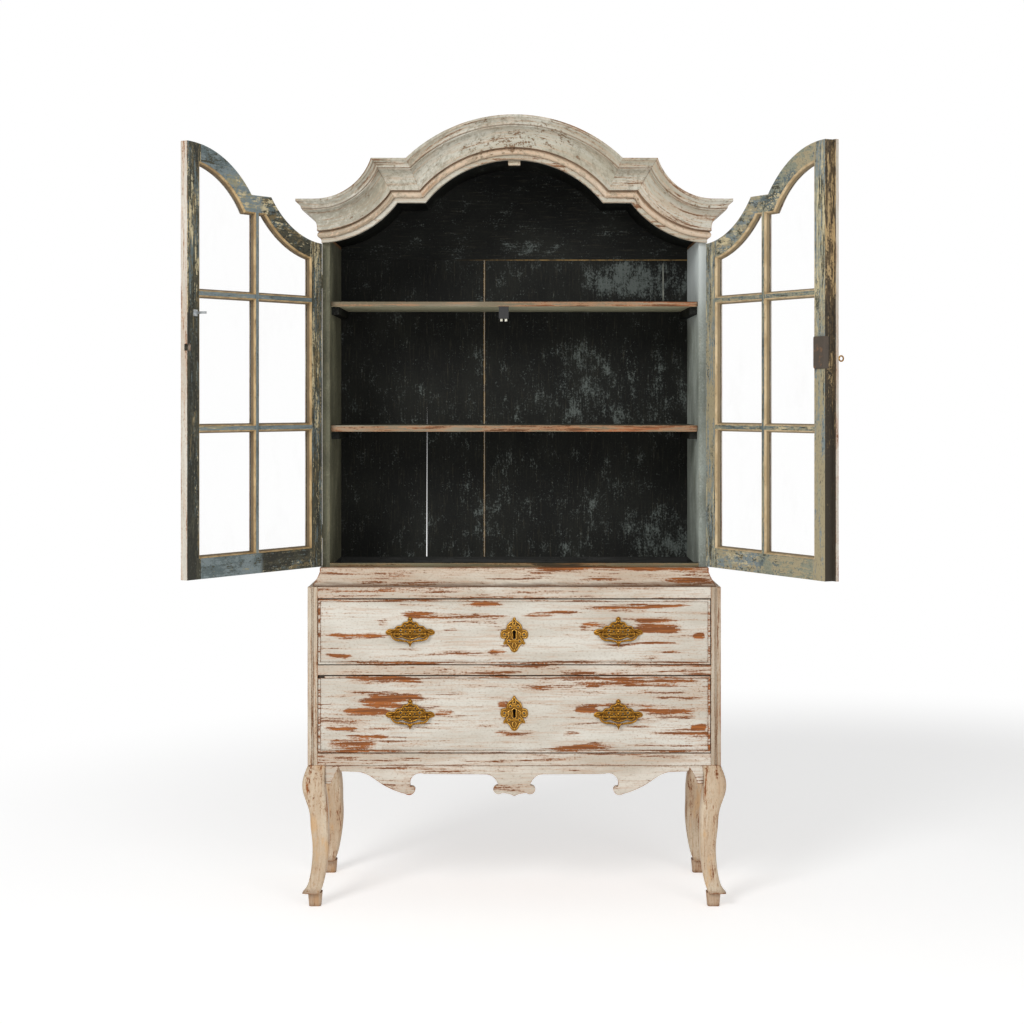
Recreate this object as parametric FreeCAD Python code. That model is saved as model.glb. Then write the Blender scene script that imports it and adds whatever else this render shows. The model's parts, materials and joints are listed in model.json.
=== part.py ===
import FreeCAD, Part
import math
import os

os.makedirs("parts", exist_ok=True)
Vec = FreeCAD.Vector

# Frame: X to the right, Y to the back, Z up, floor at Z = 0, all sizes in millimetres

# Chest
chest_width = 1080.0
chest_depth = 420.0
chest_bottom = 369.0
chest_height = 466.0
side_board = 20.0
back_board = 12.0
post_width = 26.0
post_groove = 3.0
rail_depth = 60.0
facing_board = 22.0
top_panel = 18.0
frieze_height = 29.5
divider_height = 26.0
base_rail_height = 31.5
lower_drawer_share = 0.5396

# Scalloped apron
apron_board = 18.0
apron_setback = 4.0
apron_end = 20.0
apron_scroll = 265.0

# Cabriole legs: drop below the chest, reach of the outer corner past the chest corner, width
leg_stations = [
    (0.0, 0.0, 48.0),
    (26.0, 10.0, 55.0),
    (51.0, 14.0, 59.0),
    (104.0, 2.0, 53.0),
    (161.0, -6.0, 47.0),
    (219.0, -11.0, 42.5),
    (279.0, -7.0, 39.5),
    (311.0, 0.0, 40.0),
    (333.0, 14.0, 46.0),
]
leg_corner = 0.22
foot_top = 37.0
foot_bottom = 31.0
back_leg_inset = 6.0
back_leg_reach = -0.5

# Drawers and their gaps to the posts and rails
drawer_side_gap = 1.5
drawer_gap_below = 2.0
drawer_gap_above = 2.5
drawer_setback = 2.0
drawer_lip = 3.5
drawer_lip_width = 6.0
drawer_lip_round = 2.5
drawer_box_inset = 10.0
drawer_wall = 12.0
drawer_bottom_board = 8.0
drawer_bottom_rise = 8.0
drawer_box_drop = 14.0
drawer_back_gap = 28.0
runner_width = 32.0
runner_height = 22.0
runner_clearance = 0.3
chip_width = 17.0
chip_height = 6.0
chip_backing = 8.0

# Drawer fittings, placed above the middle of their drawer
handle_x = 272.0
handle_lift = -1.5
upper_keyhole_lift = -7.5
lower_keyhole_lift = 2.5
plate_thick = 2.5
post_x = 41.0
post_drop = -3.0
post_radius = 4.0
post_length = 11.5
bail_post_gap = 3.0
bail_rod = 2.3
bail_pin = 2.0
bail_pin_end = 3.0
bail_reach = 7.5
bail_fall = 21.0
drop_radius = 4.6
drop_point = 9.0
running_fit = 0.05
keyhole_width = 6.5
keyhole_height = 22.0
drawer_lock_width = 56.0
drawer_lock_depth = 12.0
drawer_lock_height = 52.0
drawer_lock_drop = 16.0

# Waist moulding: it steps in from the chest to the case by the flare, and leaves a ledge of the chest's top
waist_height = 48.0
waist_flare = 33.0
waist_inner = 20.0
waist_ledge = 12.0
waist_fillet = 3.0
waist_neck = 4.0

# Glazed case, with heights up from the waist and drops from the top of its sides
case_side = 20.0
header_board = 22.0
floor_board = 14.0
sill_height = 10.5
sill_depth = 20.0
shelf_setback = 25.0
lower_shelf_rise = 357.0
lower_shelf_thick = 17.0
upper_shelf_drop = 165.5
upper_shelf_thick = 13.0
cleat = 20.0
shelf_side_gap = 0.5

# Arched outline of the opening: an arch in the middle, a level step, then a hollow wing
step_rise = 960.5
arch_height = 113.1
step_width = 74.3
wing_drop = 106.0
wing_centre_out = 13.0
wing_radius = 265.0
header_height = 95.0
roof_gap = 14.0
roof_board = 10.0
arch_staves = 8
wing_staves = 3
stop_half = 16.0
stop_drop = 12.0
stop_depth = 20.0

# Cornice section, measured up from the opening outline and out from the header
cornice_foot = 12.0
cornice_top = 110.0
cornice_out = 62.0

# Back boards: seams between the upright boards and the board across the top
back_seams = (-245.0, -84.0, 191.0)
cross_seam_drop = 19.5
seam_gap = 0.4
crack_width = 3.0
crack_rise = 512.0

# Doors, drawn closed
door_thick = 22.0
door_gap = 0.5
door_side_gap = 0.4
door_top_gap = 3.0
door_bottom_gap = 3.0
meeting_gap = 1.5
lip_width = 12.0
lip_cover = 14.0
lip_thick = 9.0
lip_clearance = 0.6
stile_width = 41.5
door_bottom_rail = 51.0
door_top_rail = 43.0
putty_width = 6.5
putty_edge = 1.0
bar_width = 23.0
bar_tongue = 10.0
bar_bevel = 5.0
lower_bar_rise = 371.0
upper_bar_drop = 152.5
glass_setback = 7.5
glass_thick = 2.5
glass_gap = 0.5
left_open_angle = 124.6
right_open_angle = 119.0

# Lift-off hinges
hinge_axis_out = 4.5
lower_hinge_rise = 77.0
upper_hinge_drop = 117.5
hinge_height = 70.0
knuckle_radius = 4.0
pin_radius = 2.2
pin_short = 4.0
bore_extra = 0.5
knuckle_gap = 0.4
leaf_thick = 2.0
case_leaf = 26.0
door_leaf = 17.5

# Lock of the right door, with heights inside the lock case
lock_setback = 0.25
lock_margin = 1.0
lock_rise = 517.0
lock_height = 78.0
lock_thick = 15.0
lock_let_in = 10.5
lock_corner = 5.0
lock_wall = 3.0
recess_clearance = 0.2
bolt_rise = 46.0
bolt_height = 12.0
bolt_thick = 4.0
bolt_setback = 0.2
bolt_length = 30.8
bolt_clearance = 0.3
bolt_throw = 10.0
mortise_clearance = 2.0
key_inset = 23.0
key_rise = 25.0
key_shaft = 3.0
bit_thick = 2.6
bit_width = 6.0
bit_reach = 12.0
bit_room = 1.5
bow_radius = 6.5
bow_wire = 1.8
bow_stand = 45.0
key_slot_clearance = 0.6

# Strike of the left door and the roller catch below the upper shelf
catch_x = -28.0
catch_width = 26.0
catch_depth = 20.0
catch_drop = 32.0
roller_setback = 6.5
roller_radius = 3.5
roller_height = 6.5
roller_gap = 5.0
roller_play = 0.5
roller_pin = 1.2
roller_pin_head = 2.4
strike_plate_width = 14.0
strike_plate_height = 16.0
strike_plate_thick = 1.6
strike_neck = 3.0
strike_side_play = 0.3
strike_head = 5.0
strike_height = 6.0
strike_length = 36.0

# Places that follow from the sizes above
chest_half = chest_width / 2
chest_front = -chest_depth / 2
chest_back = chest_depth / 2
chest_top = chest_bottom + chest_height
chest_inner = chest_half - side_board
back_face = chest_back - back_board
post_inner = chest_half - post_width
base_rail_top = chest_bottom + base_rail_height
frieze_bottom = chest_top - frieze_height
drawer_space = frieze_bottom - base_rail_top - divider_height
divider_bottom = base_rail_top + lower_drawer_share * drawer_space
divider_top = divider_bottom + divider_height
foot_height = chest_bottom - leg_stations[-1][0]

lower_drawer_z = (base_rail_top + drawer_gap_below, divider_bottom - drawer_gap_above)
upper_drawer_z = (divider_top + drawer_gap_below, frieze_bottom - drawer_gap_above)
drawer_half = post_inner - drawer_side_gap
drawer_face = chest_front + drawer_setback
drawer_box_half = post_inner - drawer_box_inset
drawer_box_back = back_face - drawer_back_gap

waist_top = chest_top + waist_height
case_half = chest_half - waist_flare
case_inner = case_half - case_side
header_front = chest_front + waist_flare
case_front = header_front + header_board
shelf_front = case_front + shelf_setback
step_level = waist_top + step_rise
arch_apex = step_level + arch_height
wing_level = step_level - wing_drop
wing_centre_x = case_half + wing_centre_out
wing_centre_z = wing_level + wing_radius
wing_run = math.sqrt(wing_radius**2 - (wing_radius - wing_drop) ** 2)
arch_half = wing_centre_x - wing_run - step_width
arch_radius = (arch_half**2 + arch_height**2) / (2 * arch_height)
arch_centre_z = arch_apex - arch_radius
lower_shelf = waist_top + lower_shelf_rise
upper_shelf = wing_level - upper_shelf_drop
cross_seam = wing_level - cross_seam_drop

door_back = case_front - door_gap
door_front = door_back - door_thick
door_bottom = waist_top + door_bottom_gap
bar_levels = (waist_top + lower_bar_rise, wing_level - upper_bar_drop)
hinge_levels = (waist_top + lower_hinge_rise, wing_level - upper_hinge_drop)
hinge_x = case_half + hinge_axis_out
hinge_y = (door_front + door_back) / 2
lock_bottom = waist_top + lock_rise
key_z = lock_bottom + key_rise
bolt_z = (lock_bottom + bolt_rise, lock_bottom + bolt_rise + bolt_height)


# Plain shapes and exports
def box(x, y, z):
    return Part.makeBox(x[1] - x[0], y[1] - y[0], z[1] - z[0], Vec(x[0], y[0], z[0]))


def rod(start, direction, length, radius):
    return Part.makeCylinder(radius, length, start, direction)


def at(x, z):
    return Vec(x, 0, z)


def line(a, b):
    return Part.makeLine(a, b)


def arc(a, middle, b):
    return Part.Arc(a, middle, b).toShape()


def curve(points):
    spline = Part.BSplineCurve()
    spline.interpolate(points)
    return spline.toShape()


def closed_curve(points):
    spline = Part.BSplineCurve()
    spline.interpolate(Points=points, PeriodicFlag=True)
    return spline.toShape()


def chain(start, steps):
    edges = []
    for step in steps:
        points = [start] + list(step)
        draw = {2: line, 3: arc}.get(len(points))
        edges.append(draw(*points) if draw else curve(points))
        start = points[-1]
    return edges


def face(edges):
    return Part.Face(Part.Wire(Part.__sortEdges__(edges)))


def board(edges, y):
    flat = face(edges)
    flat.translate(Vec(0, y[0], 0))
    return flat.extrude(Vec(0, y[1] - y[0], 0))


def polygon(points):
    return [line(a, b) for a, b in zip(points, points[1:] + points[:1])]


def mirrored(shape):
    return shape.mirror(Vec(0, 0, 0), Vec(1, 0, 0))


def both_sides(shape):
    return [shape, mirrored(shape)]


def joined(shapes):
    return shapes[0].fuse(shapes[1:]).removeSplitter()


def turned(shapes, centre, axis, degrees):
    copies = [shape.copy() for shape in shapes]
    for shape in copies:
        shape.rotate(centre, axis, degrees)
    return copies


def export(node, shapes):
    solids = [solid for shape in shapes for solid in shape.Solids]
    Part.makeCompound(solids).exportStep("parts/" + node + ".step")


# The opening outline, drawn for the right half and moved up by a rise
def arch_corner(rise):
    return math.sqrt((arch_radius + rise) ** 2 - (step_level + rise - arch_centre_z) ** 2)


def step_corner(rise):
    drop = wing_centre_z - step_level - rise
    return wing_centre_x - math.sqrt((wing_radius - rise) ** 2 - drop**2)


def outline_z(x, rise):
    if x <= arch_corner(rise):
        return arch_centre_z + math.sqrt((arch_radius + rise) ** 2 - x**2)
    if x <= step_corner(rise):
        return step_level + rise
    return wing_centre_z - math.sqrt((wing_radius - rise) ** 2 - (wing_centre_x - x) ** 2)


def outline(outer, inner, rise):
    corners = (step_corner(rise), arch_corner(rise))
    stops = [outer] + [x for x in corners if inner < x < outer] + [inner]
    edges = []
    for a, b in zip(stops, stops[1:]):
        middle = (a + b) / 2
        height = outline_z(middle, rise)
        if abs(height - step_level - rise) < 1e-6:
            edges.append(line(at(a, height), at(b, height)))
        else:
            ends = [at(x, outline_z(x, rise)) for x in (a, b)]
            edges.append(arc(ends[0], at(middle, height), ends[1]))
    return edges


def band(outer, inner, low, high, y):
    edges = outline(outer(low), inner(low), low)
    edges += outline(outer(high), inner(high), high)
    for end in (outer, inner):
        edges.append(line(at(end(low), outline_z(end(low), low)), at(end(high), outline_z(end(high), high))))
    return board(edges, y)


def under_outline(x, bottom, rise):
    left, right = x
    loop = [(left, outline_z(left, rise)), (left, bottom), (right, bottom), (right, outline_z(right, rise))]
    return outline(right, left, rise) + [line(at(*a), at(*b)) for a, b in zip(loop, loop[1:])]


def case_outer_end(rise):
    return case_half


def case_inner_end(rise):
    return case_inner


def middle_end(rise):
    return 0.0


# Chest carcass
def chest_carcass():
    side = box((chest_inner, chest_half), (chest_front + post_width, chest_back), (chest_bottom, chest_top))
    export("chest_sides", both_sides(side))
    back = box((-chest_inner, chest_inner), (back_face, chest_back), (chest_bottom, chest_top - top_panel))
    export("chest_back", [back])
    panel_front = chest_front + facing_board
    post = box((post_inner, chest_half), (chest_front, chest_front + post_width), (chest_bottom, chest_top))
    top = box((-chest_inner, chest_inner), (panel_front, chest_back), (chest_top - top_panel, chest_top))
    export("chest_top", [top.cut(both_sides(post))])

    groove_x = post_inner + post_width / 2
    post_height = chest_top - chest_bottom
    groove = rod(Vec(groove_x, chest_front, chest_bottom), Vec(0, 0, 1), post_height, post_groove)
    export("corner_posts", both_sides(post.cut(groove)))

    across = (-post_inner, post_inner)
    rail_back = chest_front + rail_depth
    export("frieze_rail", [box(across, (chest_front, panel_front), (frieze_bottom, chest_top))])
    export("drawer_divider", [box(across, (chest_front, rail_back), (divider_bottom, divider_top))])
    export("bottom_rail", [box(across, (chest_front, rail_back), (chest_bottom, base_rail_top))])

    runners = []
    for level in (lower_drawer_z[0], upper_drawer_z[0]):
        top_face = level - runner_clearance
        run_z = (top_face - runner_height, top_face)
        runners += both_sides(box((chest_inner - runner_width, chest_inner), (rail_back, back_face), run_z))
    export("drawer_runners", runners)


# Cabriole legs and the scalloped apron
def rounded_square(x, y, z, width):
    half = width / 2
    radius = width * leg_corner
    flat = half - radius
    slant = half - radius * (1 - math.sqrt(0.5))
    edges = []
    for quarter in range(4):
        turn = FreeCAD.Rotation(Vec(0, 0, 1), 90 * quarter)
        points = [(half, -flat), (half, flat), (slant, slant), (flat, half)]
        a, b, c, d = [turn.multVec(Vec(p[0], p[1], 0)) + Vec(x, y, z) for p in points]
        edges += [line(a, b), arc(b, c, d)]
    return Part.Wire(edges)


def leg(back):
    def place(reach, width):
        x = chest_half + reach - width / 2
        if not back:
            return x, chest_front - reach + width / 2
        return x - back_leg_inset, chest_back + back_leg_reach * reach - back_leg_inset - width / 2

    sections = []
    for drop, reach, width in leg_stations:
        x, y = place(reach, width)
        sections.append(rounded_square(x, y, chest_bottom - drop, width))
    shaft = Part.makeLoft(sections, True, False)
    x, y = place(0.0, foot_top)
    pad = [rounded_square(x, y, 0, foot_bottom), rounded_square(x, y, foot_height, foot_top)]
    return shaft.fuse(Part.makeLoft(pad, True, True))


def apron(legs):
    def leg_end(inset, drop):
        return at(chest_half - inset, chest_bottom - drop)

    def scroll(across, drop):
        return at(apron_scroll + across, chest_bottom - drop)

    def middle(across, drop):
        return at(across, chest_bottom - drop)

    start = leg_end(apron_end, 0)
    edges = chain(start, [
        [leg_end(apron_end, 49)],
        [leg_end(60, 49)],
        [leg_end(74, 17), leg_end(81, 5)],
        [leg_end(85, 16)],
        [leg_end(135, 18)],
        [leg_end(163, 29), scroll(82, 49), scroll(51, 65), scroll(20, 75)],
        [scroll(-1, 74), scroll(-6, 63)],
        [scroll(-2, 57), scroll(6, 56)],
        [scroll(3, 33), scroll(-29, 23)],
        [middle(78, 24)],
        [middle(53, 33), middle(42, 53)],
        [middle(52, 57), middle(55, 65)],
        [middle(47, 75), middle(32, 73)],
        [middle(16, 75), middle(0, 81)],
        [middle(0, 0)],
        [start],
    ])
    front = chest_front + apron_setback
    return joined(both_sides(board(edges, (front, front + apron_board)))).cut(legs)


def stand():
    front_legs = both_sides(leg(False))
    export("legs_front", front_legs)
    export("legs_back", both_sides(leg(True)))
    export("apron", [apron(front_legs)])


# Waist moulding, mitred at the front corners
def waist_section(place):
    foot = waist_flare - waist_ledge
    start = place(-waist_inner, chest_top)
    return face(chain(start, [
        [place(foot, chest_top)],
        [place(foot, chest_top + waist_fillet)],
        [place(foot - 7.5, chest_top + 16), place(7, waist_top - 19), place(waist_neck, waist_top - 10)],
        [place(waist_neck, waist_top)],
        [place(-waist_inner, waist_top)],
        [start],
    ]))


def mitre_halves(reach, low, high):
    corner = Vec(case_half, header_front, low)
    inner = corner + Vec(-reach, reach, 0)
    outer = corner + Vec(reach, -reach, 0)
    front = [inner, outer, Vec(-reach, outer.y, low), Vec(-reach, inner.y, low)]
    side = [inner, outer, Vec(outer.x, chest_back, low), Vec(inner.x, chest_back, low)]
    rise = Vec(0, 0, high - low)
    return [Part.Face(Part.makePolygon(loop + loop[:1])).extrude(rise) for loop in (front, side)]


def waist():
    front_half, side_half = mitre_halves(waist_inner * 2, chest_top, waist_top)
    front = waist_section(lambda out, z: Vec(0, header_front - out, z))
    front = front.extrude(Vec(chest_width, 0, 0)).common(front_half)
    side = waist_section(lambda out, z: Vec(case_half + out, -chest_depth, z))
    side = side.extrude(Vec(0, chest_back + chest_depth, 0)).common(side_half)
    inner = case_half - waist_inner
    back_rail = box((-inner, inner), (back_face, chest_back), (chest_top, waist_top))
    export("waist_moulding", [joined(both_sides(front)), back_rail] + both_sides(side))


# Glazed case: sides, floor, arched header, roof, back and shelves
def glazed_case():
    side_top = wing_level + header_height
    side = box((case_inner, case_half), (case_front, chest_back), (waist_top, side_top))
    export("case_sides", both_sides(side))
    across = (-case_inner, case_inner)
    floor_top = chest_top + floor_board
    floor = box(across, (case_front, back_face), (chest_top, floor_top))
    sill = box(across, (case_front, case_front + sill_depth), (floor_top, waist_top + sill_height))
    export("case_floor", [floor, sill])

    header = band(case_outer_end, middle_end, 0.0, header_height, (header_front, case_front))
    export("arch_header", [joined(both_sides(header))])

    stop_y = (case_front, case_front + stop_depth)
    stop = board(under_outline((0.0, stop_half), arch_apex - stop_drop, roof_gap), stop_y)
    export("door_stop", [joined(both_sides(stop))])


def arch_ray(angle):
    return lambda rise: (arch_radius + rise) * math.sin(angle)


def wing_ray(angle):
    return lambda rise: wing_centre_x - (wing_radius - rise) * math.sin(angle)


def staves(ends):
    y = (case_front, chest_back)
    boards = [band(outer, inner, roof_gap, roof_gap + roof_board, y) for inner, outer in zip(ends, ends[1:])]
    return [side for one in boards for side in both_sides(one)]


def roof():
    middle = roof_gap + roof_board / 2
    arch_end = math.asin(arch_corner(middle) / (arch_radius + middle))
    wing_end = math.asin((wing_centre_x - step_corner(middle)) / (wing_radius - middle))
    half = arch_staves // 2
    arch_cuts = [arch_ray(arch_end * k / half) for k in range(half)]
    wing_cuts = [wing_ray(wing_end * (wing_staves - k) / wing_staves) for k in range(1, wing_staves)]
    ends = [middle_end] + arch_cuts[1:] + [arch_corner, step_corner] + wing_cuts + [case_inner_end]
    export("roof_boards", staves(ends))


def back_boards():
    depth = (back_face, chest_back)
    half = board(under_outline((0.0, case_inner), cross_seam, roof_gap), depth)
    top_board = joined(both_sides(half))

    edges = [-case_inner] + list(back_seams) + [case_inner]
    uprights = []
    for a, b in zip(edges, edges[1:]):
        uprights.append(box((a, b - seam_gap), depth, (waist_top, cross_seam - seam_gap)))
    x = back_seams[0]
    crack = polygon([at(x - crack_width, waist_top), at(x, waist_top), at(x, waist_top + crack_rise)])
    uprights[0] = uprights[0].cut(board(crack, depth))
    export("back_boards", [top_board] + uprights)


def shelves():
    span = (-case_inner + shelf_side_gap, case_inner - shelf_side_gap)
    boards, cleats = [], []
    for level, thick in ((lower_shelf, lower_shelf_thick), (upper_shelf, upper_shelf_thick)):
        boards.append(box(span, (shelf_front, back_face), (level, level + thick)))
        cleat_z = (level - cleat, level)
        cleats += both_sides(box((case_inner - cleat, case_inner), (shelf_front + cleat, back_face), cleat_z))
    export("shelves", boards)
    export("shelf_cleats", cleats)


# Cornice, one moulding run along the arch, the steps, the wings and back along both sides
def cornice_section(place):
    cap = cornice_out - 2
    start = place(cornice_foot, 0)
    return face(chain(start, [
        [place(cornice_foot, 2)],
        [place(20, 10), place(28, 2)],
        [place(31, 2)],
        [place(31, 11)],
        [place(65, 20), place(82, cap - 14)],
        [place(86, cap - 14)],
        [place(86, cap - 11)],
        [place(93, cap - 9), place(99, cap - 3), place(103, cap)],
        [place(103, cornice_out)],
        [place(cornice_top, cornice_out)],
        [place(cornice_top, 0)],
        [start],
    ]))


def mitre_line(corner, z):
    low, high = corner(cornice_foot), corner(cornice_top)
    share = (z - step_level - cornice_foot) / (cornice_top - cornice_foot)
    return at(low + share * (high - low), z)


def cornice():
    y = (header_front - 2 * cornice_out, header_front)
    low, high, sky = wing_level, step_level + 2 * cornice_top, arch_apex + 2 * cornice_top
    arch_low, arch_high = [mitre_line(arch_corner, z) for z in (low, high)]
    step_low, step_high = [mitre_line(step_corner, z) for z in (low, high)]

    over_arch = board(polygon([at(0, low), arch_low, arch_high, at(arch_high.x, sky), at(0, sky)]), y)
    crown = cornice_section(lambda rise, out: Vec(0, header_front - out, arch_apex + rise))
    crown = crown.revolve(Vec(0, 0, arch_centre_z), Vec(0, 1, 0), 60).common(over_arch)
    export("cornice_arch", [joined(both_sides(crown))])

    over_step = board(polygon([arch_low, step_low, step_high, arch_high]), y)
    step = cornice_section(lambda rise, out: Vec(0, header_front - out, step_level + rise))
    step = step.extrude(Vec(case_half, 0, 0)).common(over_step)
    export("cornice_steps", both_sides(step))

    over_wing = board(polygon([step_low, at(chest_width, low), at(chest_width, high), step_high]), y)
    front_half, side_half = mitre_halves(2 * cornice_out, wing_level, sky)
    wing = cornice_section(lambda rise, out: Vec(wing_centre_x, header_front - out, wing_level + rise))
    hollow = wing.revolve(Vec(wing_centre_x, 0, wing_centre_z), Vec(0, 1, 0), 78)
    end = wing.extrude(Vec(cornice_out, 0, 0))
    wing = joined([hollow, end]).common(over_wing).common(front_half)
    export("cornice_wings", both_sides(wing))

    side = cornice_section(lambda rise, out: Vec(case_half + out, y[0], wing_level + rise))
    side = side.extrude(Vec(0, chest_back - y[0], 0)).common(side_half)
    export("cornice_returns", both_sides(side))


# Doors, drawn closed for the right half
def light(x, z, rise, inset):
    left, right, low = x[0] + inset, x[1] - inset, z[0] + inset
    if rise is not None:
        return under_outline((left, right), low, rise - inset)
    high = z[1] - inset
    return polygon([at(left, low), at(right, low), at(right, high), at(left, high)])


door_edge = (meeting_gap / 2, case_half - door_side_gap)
glass_edge = (door_edge[0] + stile_width, door_edge[1] - stile_width)
glass_bottom = door_bottom + door_bottom_rail
door_rise = -door_top_gap
glass_rise = door_rise - door_top_rail
glass_front = door_front + glass_setback
glass_back = glass_front + glass_thick
bar_x = (door_edge[0] + door_edge[1]) / 2
columns = (
    (glass_edge[0], bar_x - bar_tongue / 2),
    (bar_x + bar_tongue / 2, glass_edge[1]),
)
levels = [glass_bottom] + [z + side * bar_tongue / 2 for z in bar_levels for side in (-1, 1)]
rows = (
    ((levels[0], levels[1]), None),
    ((levels[2], levels[3]), None),
    ((levels[4], 0.0), glass_rise),
)
lights = [(column, z, rise) for column in columns for z, rise in rows]


# A cut through a light that narrows from the first inset and depth to the second
def funnel(x, z, rise, ends):
    wires = []
    for inset, y in ends:
        wire = Part.Wire(Part.__sortEdges__(light(x, z, rise, inset)))
        wire.translate(Vec(0, y, 0))
        wires.append(wire)
    return Part.makeLoft(wires, True, True)


def door_frame():
    whole = (glass_edge, (glass_bottom, 0.0), glass_rise)
    plate = board(light(door_edge, (door_bottom, 0.0), door_rise, 0.0), (door_front, door_back))
    sight = board(light(*whole, putty_width), (door_front, door_back))
    splay = funnel(*whole, ((putty_width - bar_bevel, door_front), (putty_width, door_front + bar_bevel)))
    rebate = board(light(*whole, 0.0), (glass_front, door_back))
    opening = joined([sight, splay])
    frame = plate.cut([opening, rebate])
    y = (door_front - 1, door_back + 1)
    sight_x = (glass_edge[0] + putty_width, glass_edge[1] - putty_width)
    middle = (bar_levels[0], arch_apex)
    pieces = {
        "meeting_stile": frame.common(box((door_edge[0], sight_x[0]), y, (0, arch_apex))),
        "hinge_stile": frame.common(box((sight_x[1], door_edge[1]), y, (0, arch_apex))),
        "top_rail": frame.common(box(sight_x, y, middle)),
        "bottom_rail": frame.common(box(sight_x, y, (0, bar_levels[0]))),
    }
    return pieces, opening


# The part of a bar in front of the glass, bevelled on both sides
def bar_front(start, across, run):
    half = bar_width / 2
    section = ((half, glass_front), (half, door_front + bar_bevel), (half - bar_bevel, door_front))
    corners = [start + across * out + Vec(0, y, 0) for out, y in section]
    corners += [start - across * out + Vec(0, y, 0) for out, y in reversed(section)]
    return face(polygon(corners)).extrude(run)


def glazing_bars(opening):
    tongue_y, tongue = (glass_front, door_back), bar_tongue / 2
    tall = (door_bottom, arch_apex)
    upright = bar_front(Vec(bar_x, 0, tall[0]), Vec(1, 0, 0), Vec(0, 0, tall[1] - tall[0])).common(opening)
    rebate = board(light(glass_edge, (glass_bottom, 0.0), glass_rise, 0.0), (glass_front, door_back))
    spine = box((bar_x - tongue, bar_x + tongue), tongue_y, tall).common(rebate)
    bars = [joined([upright, spine])]
    for z in bar_levels:
        for edge, column in zip(glass_edge, columns):
            cross = bar_front(Vec(bar_x, 0, z), Vec(0, 0, 1), Vec(edge - bar_x, 0, 0))
            rib = box(column, tongue_y, (z - tongue, z + tongue))
            bars.append(joined([cross.common(opening).cut(upright), rib]))
    return bars


def panes():
    return [board(light(x, z, rise, glass_gap), (glass_front, glass_back)) for x, z, rise in lights]


def putty():
    fillets = []
    for x, z, rise in lights:
        bed = board(light(x, z, rise, 0.0), (glass_back, door_back))
        fillets.append(bed.cut(funnel(x, z, rise, ((putty_width, glass_back), (putty_edge, door_back)))))
    return fillets


def hinge(level, on_door):
    axis = Vec(hinge_x, hinge_y, level)
    half = (hinge_height - knuckle_gap) / 2
    up = Vec(0, 0, 1)
    if not on_door:
        knuckle = rod(axis, up, half, knuckle_radius)
        pin = rod(axis, up, hinge_height - pin_short, pin_radius)
        leaf_x, leaf_y = (case_half, case_half + leaf_thick), (hinge_y, case_front + case_leaf)
        leaf = box(leaf_x, leaf_y, (level, level + half))
        return joined([knuckle, leaf, pin])
    start = level + hinge_height - half
    knuckle = rod(axis + Vec(0, 0, hinge_height - half), up, half, knuckle_radius)
    leaf_x = (door_edge[1], door_edge[1] + leaf_thick)
    leaf_y = (hinge_y - door_leaf / 2, hinge_y + door_leaf / 2)
    leaf = box(leaf_x, leaf_y, (start, start + half))
    bore = rod(axis, up, hinge_height - pin_short + bore_extra, pin_radius + running_fit)
    return joined([knuckle, leaf]).cut(bore)


def lock_parts():
    x = (door_edge[0] + lock_setback, door_edge[0] + lock_setback + stile_width - lock_margin)
    y = (door_back - lock_let_in, door_back - lock_let_in + lock_thick)
    z = (lock_bottom, lock_bottom + lock_height)
    inner_y = y[0] + lock_wall
    key_x = x[0] + key_inset
    back = Vec(0, 1, 0)

    bolt_x = (x[0] + bolt_setback, x[0] + bolt_setback + bolt_length)
    bolt = box(bolt_x, (inner_y, inner_y + bolt_thick), bolt_z)
    room = bolt_clearance
    channel_y = (inner_y - room, inner_y + bolt_thick + room)
    channel = box((x[0] - 1, x[1] - lock_wall), channel_y, (bolt_z[0] - room, bolt_z[1] + room))
    chamber = rod(Vec(key_x, inner_y, key_z), back, lock_thick - 2 * lock_wall, bit_reach + bit_room)
    throat = rod(Vec(key_x, y[0] - 1, key_z), back, lock_wall + 2, key_shaft + running_fit)
    slot_half = bit_thick / 2 + key_slot_clearance
    slot_z = (key_z - bit_reach - key_slot_clearance, key_z)
    slot = box((key_x - slot_half, key_x + slot_half), (door_front - 1, inner_y + 1), slot_z)
    block = box(x, y, z)
    corners = [edge for edge in block.Edges if edge.BoundBox.XMin > x[1] - 1 and edge.BoundBox.YLength > 1]
    case = block.makeFillet(lock_corner, corners).cut([channel, chamber, throat, slot])

    bow_y = door_front - bow_stand
    shaft_start = bow_y + bow_radius
    shaft_end = y[1] - lock_wall - 1
    shaft = rod(Vec(key_x, shaft_start, key_z), back, shaft_end - shaft_start, key_shaft)
    bit_x = (key_x - bit_thick / 2, key_x + bit_thick / 2)
    bit = box(bit_x, (inner_y + 1, inner_y + 1 + bit_width), (key_z - bit_reach, key_z))
    bow = Part.makeTorus(bow_radius, bow_wire, Vec(key_x, bow_y, key_z), Vec(1, 0, 0))
    key = joined([shaft, bit, bow])

    gap = recess_clearance
    recess = box((door_edge[0] - 1, x[1] + gap), (y[0], door_back + 1), (z[0] - gap, z[1] + gap))
    keyhole = rod(Vec(key_x, door_front - 1, key_z), back, door_thick, key_shaft + key_slot_clearance)
    return case, bolt, key, [recess, keyhole, slot]


def strike():
    z = upper_shelf - catch_drop - roller_play - roller_height / 2
    end = door_back + strike_length

    def block(width, y, height):
        return box((catch_x - width / 2, catch_x + width / 2), y, (z - height / 2, z + height / 2))

    plate = block(strike_plate_width, (door_back, door_back + strike_plate_thick), strike_plate_height)
    neck = block(strike_neck, (door_back, end), strike_height)
    head = block(roller_gap - 2 * strike_side_play, (end - strike_head, end), strike_height)
    return joined([plate, neck, head])


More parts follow.
